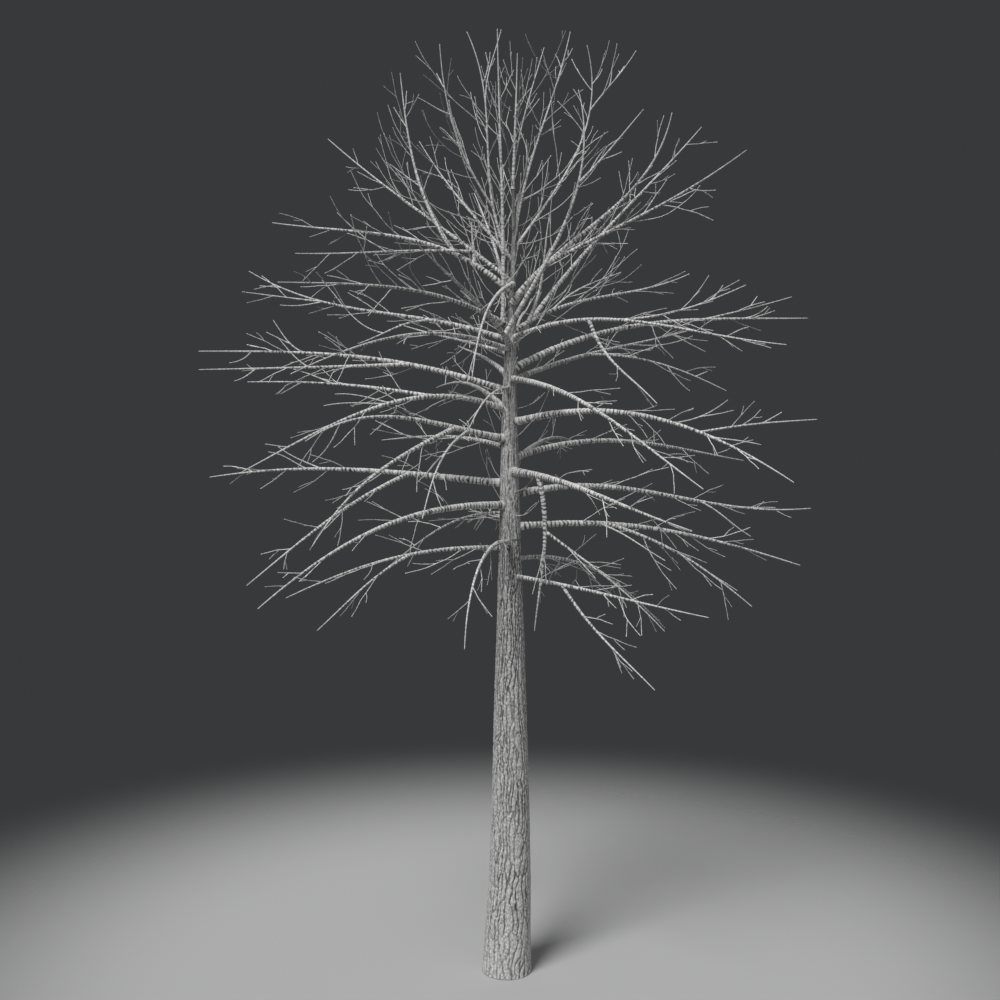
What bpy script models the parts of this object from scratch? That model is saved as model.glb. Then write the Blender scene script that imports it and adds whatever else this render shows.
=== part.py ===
"""A bare winter broadleaf tree: trunk, boughs and crown masses of twigs.

Metres, +Z up, the flat cut of the trunk on z = 0 at the origin.
The trunk is a tapering loft with a slight lean and a root flare.  Every limb is
one curve in an upright plane that leaves the trunk's axis at a named height and
heading.  The heavy limbs are a bare bough first and a mass of twigs beyond it;
the light ones are a mass of twigs straight from the trunk.  The twigs stand on
the limbs by one seeded rule.
"""

import math
import random
from collections import namedtuple

import bmesh
import bpy
import numpy as np

GAP = 0.0003                # air between two neighbouring nodes
SEED = 2417

# Trunk: height above ground, sideways lean of the axis, radius
Station = namedtuple("Station", "height lean radius")
TRUNK = [
    Station(0.00, 0.000, 0.495),
    Station(0.20, 0.000, 0.474),
    Station(1.10, 0.020, 0.446),
    Station(1.80, 0.055, 0.413),
    Station(3.00, 0.065, 0.382),
    Station(4.20, 0.065, 0.348),
    Station(5.40, 0.060, 0.315),
    Station(7.00, 0.060, 0.261),
    Station(8.20, 0.050, 0.222),
    Station(9.60, 0.045, 0.185),
    Station(11.20, 0.040, 0.143),
    Station(12.20, 0.060, 0.112),
    Station(13.00, 0.090, 0.066),
    Station(14.20, 0.130, 0.046),
    Station(15.10, 0.100, 0.034),
]
TRUNK_SIDES = 14
TRUNK_TIP = TRUNK[-1].height

# Limbs from the trunk's axis.  Heading in degrees: 0 right, 90 back, 180 left,
# 270 front.  Run is the level distance to the tip, tip its height; rise and
# bend are the slopes where the limb leaves and where it ends; bare is the share
# of the length that is a bough of its own before the twigs begin.
Limb = namedtuple("Limb", "name height heading run tip rise bend radius bare")
LIMBS = [
    Limb("left_01", 8.38, 192, 4.24, 7.57, 4, -24, 0.047, 0.00),
    Limb("left_02", 9.20, 222, 5.60, 7.90, 6, -32, 0.070, 0.30),
    Limb("left_03", 9.05, 138, 3.36, 7.67, -1, -34, 0.032, 0.00),
    Limb("left_04", 9.61, 174, 5.85, 9.68, 5, -9, 0.071, 0.30),
    Limb("left_05", 10.28, 133, 3.90, 10.26, 10, -6, 0.050, 0.00),
    Limb("left_06", 10.98, 206, 5.17, 10.03, 23, -26, 0.057, 0.26),
    Limb("left_07", 11.35, 176, 5.95, 12.11, 19, 0, 0.062, 0.30),
    Limb("left_08", 11.60, 118, 2.20, 12.22, 27, 12, 0.059, 0.00),
    Limb("left_09", 12.05, 130, 3.55, 12.67, 12, 12, 0.039, 0.00),
    Limb("left_10", 12.13, 226, 5.16, 11.74, 16, -20, 0.045, 0.00),
    Limb("left_11", 12.30, 168, 5.20, 13.66, 20, 30, 0.05, 0.00),
    Limb("left_12", 12.55, 226, 5.40, 13.20, 22, -1, 0.047, 0.00),
    Limb("left_13", 13.15, 178, 4.50, 14.50, 46, 8, 0.057, 0.13),
    Limb("left_14", 13.38, 150, 4.25, 16.33, 36, 38, 0.045, 0.00),
    Limb("front_01", 8.46, 258, 3.72, 7.20, 14, -80, 0.053, 0.00),
    Limb("front_02", 10.46, 209, 4.10, 10.54, 9, -32, 0.066, 0.18),
    Limb("front_03", 12.22, 249, 4.30, 13.83, 28, 20, 0.055, 0.00),
    Limb("front_04", 13.36, 257, 3.13, 11.67, -8, -65, 0.046, 0.00),
    Limb("front_05", 11.42, 252, 2.30, 10.79, 1, -35, 0.036, 0.00),
    Limb("right_01", 7.85, -48, 4.87, 7.73, 1, -1, 0.043, 0.00),
    Limb("right_02", 8.15, 42, 4.50, 6.22, 3, -40, 0.043, 0.00),
    Limb("right_03", 9.85, -56, 5.15, 9.26, 1, -6, 0.075, 0.14),
    Limb("right_04", 9.38, 12, 6.15, 9.00, 14, 4, 0.066, 0.30),
    Limb("right_05", 8.78, 3, 5.62, 8.00, 6, -18, 0.066, 0.26),
    Limb("right_06", 10.08, 30, 5.70, 9.83, 16, -10, 0.065, 0.30),
    Limb("right_07", 10.75, -36, 5.78, 9.95, 15, -29, 0.071, 0.34),
    Limb("right_08", 11.60, -57, 5.50, 9.96, -2, -22, 0.057, 0.25),
    Limb("right_09", 11.55, 48, 6.10, 12.60, 15, 10, 0.055, 0.00),
    Limb("right_10", 11.75, 10, 5.90, 12.75, 29, 1, 0.065, 0.32),
    Limb("right_11", 12.34, -42, 5.88, 12.21, 19, -5, 0.047, 0.00),
    Limb("right_12", 12.44, 23, 3.84, 13.63, 35, 23, 0.047, 0.00),
    Limb("right_13", 12.14, 41, 5.33, 16.78, 48, 41, 0.055, 0.00),
    Limb("right_14", 13.00, -24, 3.06, 16.28, 52, 78, 0.066, 0.16),
    Limb("back_01", 8.75, 100, 4.40, 8.20, 8, -22, 0.055, 0.00),
    Limb("back_02", 9.95, 72, 5.20, 10.00, 12, -14, 0.062, 0.28),
    Limb("back_03", 10.95, 108, 5.20, 11.30, 16, -8, 0.060, 0.28),
    Limb("back_04", 11.95, 85, 4.60, 13.00, 24, 2, 0.050, 0.00),
    Limb("back_05", 12.90, 103, 3.40, 15.40, 42, 30, 0.045, 0.00),
    Limb("top_01", 15.10, 0, 0.08, 17.55, 88, 89, 0.034, 0.00),
    Limb("top_03", 13.78, 140, 2.40, 16.20, 42, 52, 0.032, 0.00),
    Limb("top_04", 14.00, 38, 1.78, 17.93, 49, 110, 0.030, 0.00),
    Limb("top_05", 14.20, 56, 1.97, 18.30, 76, 69, 0.030, 0.00),
]

# Forks: limbs that leave another limb at a share of its length
Fork = namedtuple("Fork", "name parent share heading run tip rise bend radius")
FORKS = [
    Fork("left_01b", "left_01", 0.44, 200, 1.80, 6.98, -26, -40, 0.028),
    Fork("left_04b", "left_04", 0.33, 222, 3.63, 8.03, -16, -31, 0.043),
    Fork("front_02b", "front_02", 0.28, 223, 3.24, 8.80, -19, -51, 0.050),
    Fork("front_02c", "front_02", 0.21, 258, 3.32, 9.38, -5, -47, 0.034),
    Fork("left_06b", "left_06", 0.30, 165, 3.67, 11.53, 9, -1, 0.039),
    Fork("left_07b", "left_07", 0.33, 188, 3.88, 11.77, -2, -1, 0.038),
    Fork("left_11b", "left_11", 0.28, 190, 1.47, 12.25, 6, -18, 0.026),
    Fork("left_12b", "left_12", 0.045, 185, 0.10, 17.95, 91, 89, 0.042),
    Fork("left_12c", "left_12b", 0.24, 190, 0.36, 14.78, 60, 45, 0.022),
    Fork("left_13b", "left_13", 0.27, 150, 1.23, 17.33, 49, 83, 0.042),
    Fork("left_13c", "left_13", 0.19, 165, 0.05, 14.50, 90, 92, 0.040),
    Fork("left_13e", "left_13c", 0.30, 196, 3.33, 13.86, 2, 0, 0.030),
    Fork("right_01b", "right_01", 0.29, -44, 2.17, 6.24, -48, -33, 0.030),
    Fork("right_03b", "right_03", 0.18, -40, -0.08, 6.92, -72, -97, 0.053),
    Fork("right_03c", "right_03b", 0.35, -15, 2.23, 7.06, -35, -46, 0.028),
    Fork("right_04b", "right_04", 0.62, -10, 1.00, 8.52, -24, -30, 0.020),
    Fork("right_05b", "right_05", 0.33, -20, 2.77, 7.40, -14, -38, 0.036),
    Fork("right_05c", "right_05", 0.30, -45, 1.60, 8.29, -10, -20, 0.020),
    Fork("right_07b", "right_07", 0.68, 8, 2.10, 10.93, 10, 3, 0.022),
    Fork("right_10b", "right_10", 0.65, 10, 1.78, 13.16, 13, 16, 0.020),
    Fork("right_11b", "right_11", 0.32, -52, 1.75, 11.22, -65, -36, 0.036),
    Fork("right_11c", "right_11", 0.43, 5, 2.27, 13.27, 3, 24, 0.024),
    Fork("right_12b", "right_12", 0.24, 18, 1.40, 13.62, 46, 20, 0.022),
    Fork("right_12c", "right_12", 0.10, 8, 0.40, 14.60, 62, 80, 0.038),
    Fork("right_14b", "right_14", 0.22, -34, 3.93, 15.46, 23, 31, 0.042),
    Fork("front_03b", "front_03", 0.08, -22, 1.42, 16.75, 59, 105, 0.050),
    Fork("front_03c", "front_03b", 0.65, -22, 1.20, 16.33, 41, 47, 0.024),
    Fork("top_01b", "top_01", 0.16, 50, 0.90, 17.80, 76, 66, 0.018),
    Fork("top_03b", "top_03", 0.05, 165, 0.80, 18.00, 64, 64, 0.030),
    Fork("top_03c", "top_03b", 0.22, 205, 1.07, 17.65, 52, 86, 0.024),
    Fork("top_03d", "top_03b", 0.66, 50, 0.45, 18.10, 94, 70, 0.014),
    Fork("top_04b", "top_04", 0.73, 5, 0.89, 17.86, 54, 59, 0.016),
    Fork("right_09b", "right_09", 0.39, 5, 2.84, 11.31, 0, -26, 0.026),
    Fork("left_07c", "left_07", 0.66, 168, 0.62, 12.70, 20, 55, 0.016),
    Fork("left_07d", "left_07c", 0.36, 185, 0.46, 12.47, 25, 25, 0.012),
    Fork("left_07e", "left_07", 0.83, 190, 0.42, 11.89, -52, -6, 0.013),
    Fork("left_07f", "left_07b", 0.48, 175, 0.58, 12.37, 30, 49, 0.015),
    Fork("left_07g", "left_07b", 0.73, 200, 0.41, 11.56, -38, -14, 0.013),
    Fork("left_06c", "left_06b", 0.53, 172, 0.76, 11.78, 23, 15, 0.018),
    Fork("left_06d", "left_06b", 0.70, 175, 0.40, 11.31, -29, -29, 0.012),
    Fork("left_06e", "left_06", 0.45, 185, 1.00, 11.34, 13, -4, 0.016),
    Fork("left_06f", "left_06", 0.46, 195, 1.16, 11.14, 1, -11, 0.016),
    Fork("left_06g", "left_06", 0.83, 205, 0.41, 10.50, 3, 7, 0.012),
    Fork("left_04c", "left_04", 0.62, 165, 0.92, 10.29, 21, 36, 0.014),
    Fork("left_04d", "left_04", 0.67, 185, 0.73, 10.19, 26, 6, 0.014),
    Fork("left_11c", "left_11", 0.70, 178, 1.56, 13.25, 6, 7, 0.019),
    Fork("left_11d", "left_11", 0.70, 190, 0.81, 12.99, -12, 6, 0.013),
    Fork("left_11e", "left_11b", 0.66, 170, 1.19, 13.45, 10, 46, 0.014),
    Fork("front_02d", "front_02", 0.83, 190, 0.49, 10.16, -66, -35, 0.014),
    Fork("top_03e", "top_03c", 0.60, 200, 0.61, 16.68, 14, 22, 0.013),
    Fork("top_03f", "top_03c", 0.42, 170, 0.37, 16.21, 28, 28, 0.013),
    Fork("top_03g", "top_03c", 0.42, 215, 0.21, 16.61, 66, -109, 0.012),
    Fork("top_03h", "top_03b", 0.54, 170, 0.22, 16.51, 74, 50, 0.012),
    Fork("left_13k", "left_13b", 0.72, 160, 0.27, 16.70, 53, 58, 0.012),
    Fork("left_13l", "left_13b", 0.41, 150, 0.70, 15.66, 33, 33, 0.015),
    Fork("top_04c", "top_04", 0.84, 20, 0.21, 17.52, 49, 71, 0.012),
    Fork("top_04d", "top_04b", 0.40, 10, 0.06, 17.50, 62, -90, 0.011),
    Fork("top_05b", "top_05", 0.75, 240, 0.05, 17.55, 48, 111, 0.011),
    Fork("front_03d", "front_03c", 0.33, -10, 0.38, 15.63, 17, 26, 0.012),
    Fork("front_03e", "front_03c", 0.18, -20, 0.59, 15.86, 63, 14, 0.014),
    Fork("right_11d", "right_11c", 0.70, 10, 0.25, 13.27, 36, 58, 0.012),
    Fork("right_10c", "right_10b", 0.51, 15, 0.17, 13.17, 58, 53, 0.012),
    Fork("right_10d", "right_10b", 0.39, 5, 0.52, 13.06, 29, 14, 0.013),
    Fork("right_10e", "right_10", 0.78, 20, 0.55, 12.98, 11, 41, 0.012),
    Fork("right_11e", "right_11", 0.81, -30, 0.37, 12.50, 28, 12, 0.012),
    Fork("right_09c", "right_09", 0.87, 40, 1.13, 12.34, -13, -3, 0.014),
    Fork("right_09d", "right_09", 0.87, 20, 0.80, 12.10, -26, -23, 0.014),
    Fork("right_09e", "right_09", 0.62, 35, 1.75, 12.44, -4, 18, 0.016),
    Fork("right_09f", "right_09b", 0.55, 0, 0.47, 11.31, -55, -36, 0.012),
    Fork("right_09g", "right_09b", 0.76, 10, 0.26, 11.71, 22, 22, 0.011),
    Fork("right_07c", "right_07", 0.59, -20, 0.95, 11.28, 8, 39, 0.016),
    Fork("right_07d", "right_07c", 0.46, -30, 0.62, 11.11, 9, 16, 0.012),
    Fork("right_07e", "right_07b", 0.53, 15, 0.37, 11.06, 26, 29, 0.012),
    Fork("right_07f", "right_07", 0.72, -25, 0.86, 10.54, -7, -12, 0.014),
]

CURVE_HANDLE = 0.38         # reach of a curve's slopes, as a share of its chord
CURVE_POINTS = 41
LIMB_TIP_RADIUS = 0.007     # every limb tapers to this blunt tip
LIMB_TAPER = 1.0            # above one, a limb keeps its girth for longer

BOUGH_SIDES = 7
BOUGH_SPAN = 0.40           # length of one straight stretch of a bough
STEM_SIDES = 4
STEM_SPAN = 0.62

TWIG_SIDES = 3
TWIG_LIMB = 1.20            # shortest limb that bears twigs
TWIG_STEP = 0.70            # along the limb from one twig to the next
TWIG_FIRST = 0.10           # bare length before the first twig
TWIG_LAST = 0.65            # bare length at the limb's tip
TWIG_TURN = 137.5           # turn about the limb from one twig to the next
TWIG_LENGTH = 1.30          # at the limb's foot, and at most
TWIG_OF_LIMB = 0.55         # the same as a share of the limb's length
TWIG_SHORTEST = 0.45        # share of the length left at the limb's tip
TWIG_ANGLE = 34.0           # lean away from the limb's own direction
TWIG_RADIUS = 0.013
TWIG_TIP_RADIUS = 0.008
TWIG_BEND = 10.0            # turn towards the limb's direction half way along
TWIG_CLEAR = 0.030          # air kept between a twig and anything but its limb
TWIG_OWN_SHARE = 0.35       # inner part of a twig not tested on its own limb

LOWEST_TWIG = 5.20          # no twig hangs below this height
HIGHEST_TWIG = 18.15        # nor stands above the tallest shoot

BARK_COLOUR = (0.30, 0.29, 0.28)
TWIG_COLOUR = (0.42, 0.41, 0.40)
BARK_ROUGHNESS = 0.88
TWIG_ROUGHNESS = 0.80
WELD = 0.00002              # shorter edges close up after a Boolean


class Curve:
    """One limb's line: a cubic in an upright plane, measured along its length."""

    def __init__(self, start, heading, run, tip, rise, bend):
        height = start[2]
        handle = CURVE_HANDLE * math.hypot(run, tip - height)
        rise, bend = math.radians(rise), math.radians(bend)
        corners = [
            (0.0, height),
            (handle * math.cos(rise), height + handle * math.sin(rise)),
            (run - handle * math.cos(bend), tip - handle * math.sin(bend)),
            (run, tip),
        ]
        a, b, c, d = np.array(corners)
        t = np.linspace(0.0, 1.0, CURVE_POINTS)[:, None]
        flat = (1 - t) ** 3 * a + 3 * (1 - t) ** 2 * t * b + 3 * (1 - t) * t * t * c + t ** 3 * d
        heading = math.radians(heading)
        self.points = np.stack(
            [
                start[0] + flat[:, 0] * math.cos(heading),
                start[1] + flat[:, 0] * math.sin(heading),
                flat[:, 1],
            ],
            axis=1,
        )
        steps = np.linalg.norm(np.diff(self.points, axis=0), axis=1)
        self.distances = np.concatenate([[0.0], np.cumsum(steps)])
        self.length = self.distances[-1]
        slopes = np.gradient(self.points, self.distances, axis=0)
        self.slopes = slopes / np.linalg.norm(slopes, axis=1)[:, None]

    def at(self, share):
        """The point at a share of the length."""
        return self.between(self.points, share)

    def direction(self, share):
        """The unit direction at a share of the length."""
        slope = self.between(self.slopes, share)
        return slope / np.linalg.norm(slope)

    def between(self, rows, share):
        return np.array([np.interp(share * self.length, self.distances, column) for column in rows.T])


def trunk_at(height):
    """The lean and the radius of the trunk at a height."""
    heights = [station.height for station in TRUNK]
    lean = np.interp(height, heights, [station.lean for station in TRUNK])
    radius = np.interp(height, heights, [station.radius for station in TRUNK])
    return lean, radius


def limb_radius(root_radius, share):
    """The radius of a limb at a share of its length."""
    return root_radius + (LIMB_TIP_RADIUS - root_radius) * share ** LIMB_TAPER


def lines_of_limbs():
    """Every limb and fork by name, with its curve, root radius and mass."""
    lines = {}
    Line = namedtuple("Line", "curve radius mass bare")
    for limb in LIMBS:
        lean, _ = trunk_at(limb.height)
        start = (lean, 0.0, limb.height)
        curve = Curve(start, limb.heading, limb.run, limb.tip, limb.rise, limb.bend)
        lines[limb.name] = Line(curve, limb.radius, limb.name, limb.bare)
    for fork in FORKS:
        parent = lines[fork.parent]
        start = parent.curve.at(fork.share)
        curve = Curve(start, fork.heading, fork.run, fork.tip, fork.rise, fork.bend)
        lines[fork.name] = Line(curve, fork.radius, parent.mass, 0.0)
    return lines


def cross_axes(direction):
    """Two unit axes across a direction, the second one upward."""
    upright = np.array([0.0, 0.0, 1.0])
    if abs(direction[2]) > 0.95:
        upright = np.array([1.0, 0.0, 0.0])
    side = np.cross(direction, upright)
    side /= np.linalg.norm(side)
    return side, np.cross(side, direction)


def solid(name, rings):
    """A closed solid through rings of equal count, with a flat cap at each end."""
    mesh = bpy.data.meshes.new(name)
    grid = bmesh.new()
    rows = [[grid.verts.new(point) for point in ring] for ring in rings]
    count = len(rows[0])
    for low, high in zip(rows, rows[1:]):
        for i in range(count):
            j = (i + 1) % count
            grid.faces.new((low[i], low[j], high[j]))
            grid.faces.new((low[i], high[j], high[i]))
    for i in range(1, count - 1):
        grid.faces.new((rows[0][0], rows[0][i + 1], rows[0][i]))
        grid.faces.new((rows[-1][0], rows[-1][i], rows[-1][i + 1]))
    grid.to_mesh(mesh)
    grid.free()
    item = bpy.data.objects.new(name, mesh)
    bpy.context.scene.collection.objects.link(item)
    return item


def tube(name, centres, directions, radii, sides):
    """A round tapering limb: rings carried along without twisting."""
    across, _ = cross_axes(directions[0])
    rings = []
    for centre, direction, radius in zip(centres, directions, radii):
        across = across - direction * np.dot(across, direction)
        across /= np.linalg.norm(across)
        second = np.cross(direction, across)
        ring = []
        for i in range(sides):
            angle = 2.0 * math.pi * i / sides
            offset = math.cos(angle) * across + math.sin(angle) * second
            ring.append(centre + radius * offset)
        rings.append(ring)
    return solid(name, rings)


def trunk_solid(name, extra=0.0):
    """The trunk's loft; extra widens it and lengthens its tip and foot."""
    rings = []
    widen = extra / math.cos(math.pi / TRUNK_SIDES)
    for station in TRUNK:
        height = station.height
        if station is TRUNK[-1]:
            height += extra
        if station is TRUNK[0]:
            height -= extra
        ring = []
        for i in range(TRUNK_SIDES):
            angle = 2.0 * math.pi * i / TRUNK_SIDES
            x = station.lean + (station.radius + widen) * math.cos(angle)
            y = (station.radius + widen) * math.sin(angle)
            ring.append((x, y, height))
        rings.append(ring)
    return solid(name, rings)


def drop(item):
    """Remove a helper object and its mesh."""
    mesh = item.data
    bpy.data.objects.remove(item, do_unlink=True)
    bpy.data.meshes.remove(mesh)


def shells_of(grid):
    """The separate closed shells of a bmesh, as sets of faces."""
    left = set(grid.faces)
    shells = []
    while left:
        shell = set()
        queue = [left.pop()]
        while queue:
            face = queue.pop()
            shell.add(face)
            for edge in face.edges:
                for other in edge.link_faces:
                    if other in left:
                        left.remove(other)
                        queue.append(other)
        shells.append(shell)
    return shells


def is_closed(grid):
    return all(len(edge.link_faces) == 2 for edge in grid.edges)


def joined(item, operation, group=None, other=None):
    """Apply one Boolean to an item; keep its largest shell, with hollows filled."""
    modifier = item.modifiers.new(operation.lower(), "BOOLEAN")
    modifier.operation = operation
    if group is None:
        modifier.object = other
    else:
        modifier.operand_type = "COLLECTION"
        modifier.collection = group
    for solver in ("EXACT", "MANIFOLD"):
        modifier.solver = solver
        graph = bpy.context.evaluated_depsgraph_get()
        mesh = bpy.data.meshes.new_from_object(item.evaluated_get(graph))
        grid = bmesh.new()
        grid.from_mesh(mesh)
        bmesh.ops.triangulate(grid, faces=grid.faces[:])
        bmesh.ops.dissolve_degenerate(grid, edges=grid.edges[:], dist=WELD)
        bmesh.ops.triangulate(grid, faces=grid.faces[:])
        shells = sorted(shells_of(grid), key=len)
        scraps = [face for shell in shells[:-1] for face in shell]
        bmesh.ops.delete(grid, geom=scraps, context="FACES")
        good = len(grid.faces) > 0 and is_closed(grid)
        grid.to_mesh(mesh)
        grid.free()
        if good:
            break
        bpy.data.meshes.remove(mesh)
    if not good:
        raise ValueError(item.name + " is open after its Boolean")
    item.modifiers.clear()
    old = item.data
    item.data = mesh
    mesh.name = item.name
    bpy.data.meshes.remove(old)


def united(parts):
    """Join a mass's solids into the first of them with one Boolean union."""
    whole = parts[0]
    group = bpy.data.collections.new(whole.name + "_parts")
    for part in parts[1:]:
        group.objects.link(part)
    joined(whole, "UNION", group=group)
    bpy.data.collections.remove(group)
    for part in parts[1:]:
        drop(part)


class Standing:
    """The straight stretches already standing, each with its owner."""

    def __init__(self):
        self.rows = []
        self.owners = []

    def add(self, owner, centres, radii):
        for i in range(len(centres) - 1):
            self.rows.append((*centres[i], *centres[i + 1], max(radii[i], radii[i + 1])))
            self.owners.append(owner)

    def air(self, centres, radii, skip=None):
        """The least air between a line of stretches and all but one owner."""
        rows = np.array(self.rows)
        if skip is not None:
            rows = rows[np.array(self.owners) != skip]
        low, high, thick = rows[:, 0:3], rows[:, 3:6], rows[:, 6]
        least = math.inf
        for i in range(len(centres) - 1):
            apart = stretch_distance(centres[i], centres[i + 1], low, high)
            least = min(least, float((apart - thick).min()) - max(radii[i], radii[i + 1]))
        return least


def stretch_distance(start, end, low, high):
    """The distance from one straight stretch to each of many."""
    along = end - start
    other = high - low
    offset = start - low
    a = max(float(along @ along), 1e-12)
    e = np.maximum((other * other).sum(axis=1), 1e-12)
    b = other @ along
    c = offset @ along
    f = (other * offset).sum(axis=1)
    spread = a * e - b * b
    s = np.where(spread > 1e-12, (b * f - c * e) / np.maximum(spread, 1e-12), 0.0)
    s = np.clip(s, 0.0, 1.0)
    t = np.clip((b * s + f) / e, 0.0, 1.0)
    s = np.clip((b * t - c) / a, 0.0, 1.0)
    gap = start + s[:, None] * along - low - t[:, None] * other
    return np.linalg.norm(gap, axis=1)


def stretch_of(line, first, last, span):
    """Even rings along a limb from one share of its length to another."""
    count = max(1, round((last - first) * line.curve.length / span))
    shares = np.linspace(first, last, count + 1)
    centres = [line.curve.at(share) for share in shares]
    directions = [line.curve.direction(share) for share in shares]
    radii = [limb_radius(line.radius, share) for share in shares]
    return centres, directions, radii


def share_outside_trunk(line):
    """The share of a trunk-born limb's length at which it leaves the bark."""
    for share in np.linspace(0.0, 0.5, 101):
        point = line.curve.at(share)
        lean, radius = trunk_at(point[2])
        if point[2] > TRUNK_TIP or math.hypot(point[0] - lean, point[1]) > radius:
            return share
    return 0.5


def twigs_of(name, line, first):
    """The twigs of one limb: root, bend and tip of each, with its radii."""
    draw = random.Random(f"{SEED} {name}")
    curve = line.curve
    twigs = []
    if curve.length < TWIG_LIMB:
        return twigs
    longest = min(TWIG_LENGTH, TWIG_OF_LIMB * curve.length)
    distance = first * curve.length + TWIG_FIRST
    turn = draw.uniform(0.0, 360.0)
    while True:
        distance += TWIG_STEP * draw.uniform(0.75, 1.25)
        turn += TWIG_TURN + draw.uniform(-22.0, 22.0)
        lean = math.radians(TWIG_ANGLE + draw.uniform(-10.0, 10.0))
        size = draw.uniform(0.50, 1.10)
        bend = math.radians(TWIG_BEND * draw.uniform(-1.0, 1.6))
        if distance > curve.length - TWIG_LAST:
            return twigs
        share = distance / curve.length
        forward = curve.direction(share)
        side, up = cross_axes(forward)
        roll = math.radians(turn)
        out = math.cos(roll) * side + math.sin(roll) * up
        length = longest * size * (1.0 - (1.0 - TWIG_SHORTEST) * share)
        radius = min(TWIG_RADIUS, 0.75 * limb_radius(line.radius, share))
        near = math.cos(lean) * forward + math.sin(lean) * out
        lean -= bend
        far = math.cos(lean) * forward + math.sin(lean) * out
        root = curve.at(share)
        middle = root + near * length * 0.5
        tip = middle + far * length * 0.5
        end_radius = min(TWIG_TIP_RADIUS, radius)
        radii = [radius, 0.5 * (radius + end_radius), end_radius]
        twigs.append(([root, middle, tip], [near, near + far, far], radii))


def stands_free(standing, name, centres, radii):
    """Whether a twig keeps its air all round and stays within the crown."""
    if not LOWEST_TWIG < centres[-1][2] < HIGHEST_TWIG:
        return False
    outer = [centres[0] + (centres[1] - centres[0]) * TWIG_OWN_SHARE, *centres[1:]]
    if standing.air(centres, radii, skip=name) < TWIG_CLEAR:
        return False
    return standing.air(outer, radii) > 0.0


def paint(item, colour, roughness):
    """Give a node a Principled material of its own."""
    material = bpy.data.materials.new(item.name)
    material.use_nodes = True
    surface = material.node_tree.nodes["Principled BSDF"]
    surface.inputs["Base Color"].default_value = (*colour, 1.0)
    surface.inputs["Roughness"].default_value = roughness
    surface.inputs["Metallic"].default_value = 0.0
    item.data.materials.clear()
    item.data.materials.append(material)


def standing_limbs(lines):
    """The trunk and every limb as stretches, to hold the twigs off them."""
    standing = Standing()
    heights = [np.array([station.lean, 0.0, station.height]) for station in TRUNK]
    standing.add("trunk", heights, [station.radius for station in TRUNK])
    for name, line in lines.items():
        centres, _, radii = stretch_of(line, 0.0, 1.0, STEM_SPAN)
        hidden = 1 if from_trunk(name, line) else 0
        standing.add(name, centres[hidden:], radii[hidden:])
    return standing


def from_trunk(name, line):
    """Whether a limb starts inside the trunk."""
    return name == line.mass and line.curve.points[0][2] < TRUNK_TIP


def bough_solid(name, line, cutter):
    """The bare first share of a heavy limb, cut clear of the trunk."""
    centres, directions, radii = stretch_of(line, 0.0, line.bare, BOUGH_SPAN)
    bough = tube("bough_" + name, centres, directions, radii, BOUGH_SIDES)
    joined(bough, "DIFFERENCE", other=cutter)
    paint(bough, BARK_COLOUR, BARK_ROUGHNESS)


def stem_solid(name, line, cutter):
    """The stem of a mass, clear of the bough or the trunk that it grows from."""
    centres, directions, radii = stretch_of(line, line.bare, 1.0, STEM_SPAN)
    if line.bare > 0.0:
        centres[0] = centres[0] + directions[0] * GAP
    if centres[0][2] >= TRUNK_TIP:
        centres[0] = centres[0] + np.array([0.0, 0.0, GAP])
        directions[0] = np.array([0.0, 0.0, 1.0])
    label = "twigs_" + name if name == line.mass else name
    stem = tube(label, centres, directions, radii, STEM_SIDES)
    if from_trunk(name, line) and line.bare == 0.0:
        joined(stem, "DIFFERENCE", other=cutter)
    return stem


def build():
    for item in list(bpy.data.objects):
        bpy.data.objects.remove(item, do_unlink=True)
    lines = lines_of_limbs()
    standing = standing_limbs(lines)
    trunk = trunk_solid("trunk")
    paint(trunk, BARK_COLOUR, BARK_ROUGHNESS)

    cutter = trunk_solid("cutter", GAP)
    masses = {}
    for name, line in lines.items():
        if line.bare > 0.0:
            bough_solid(name, line, cutter)
        masses.setdefault(line.mass, []).append(stem_solid(name, line, cutter))
    drop(cutter)

    for name, line in lines.items():
        bare = max(line.bare, share_outside_trunk(line)) if name == line.mass else 0.0
        for number, (centres, directions, radii) in enumerate(twigs_of(name, line, bare)):
            if not stands_free(standing, name, centres, radii):
                continue
            standing.add(f"{name} {number}", centres, radii)
            units = [direction / np.linalg.norm(direction) for direction in directions]
            masses[line.mass].append(tube("twig", centres, units, radii, TWIG_SIDES))
    for parts in masses.values():
        united(parts)
        paint(parts[0], TWIG_COLOUR, TWIG_ROUGHNESS)


build()
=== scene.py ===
import random
from collections import namedtuple
from math import cos, hypot, inf, pi, radians, sin

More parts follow.
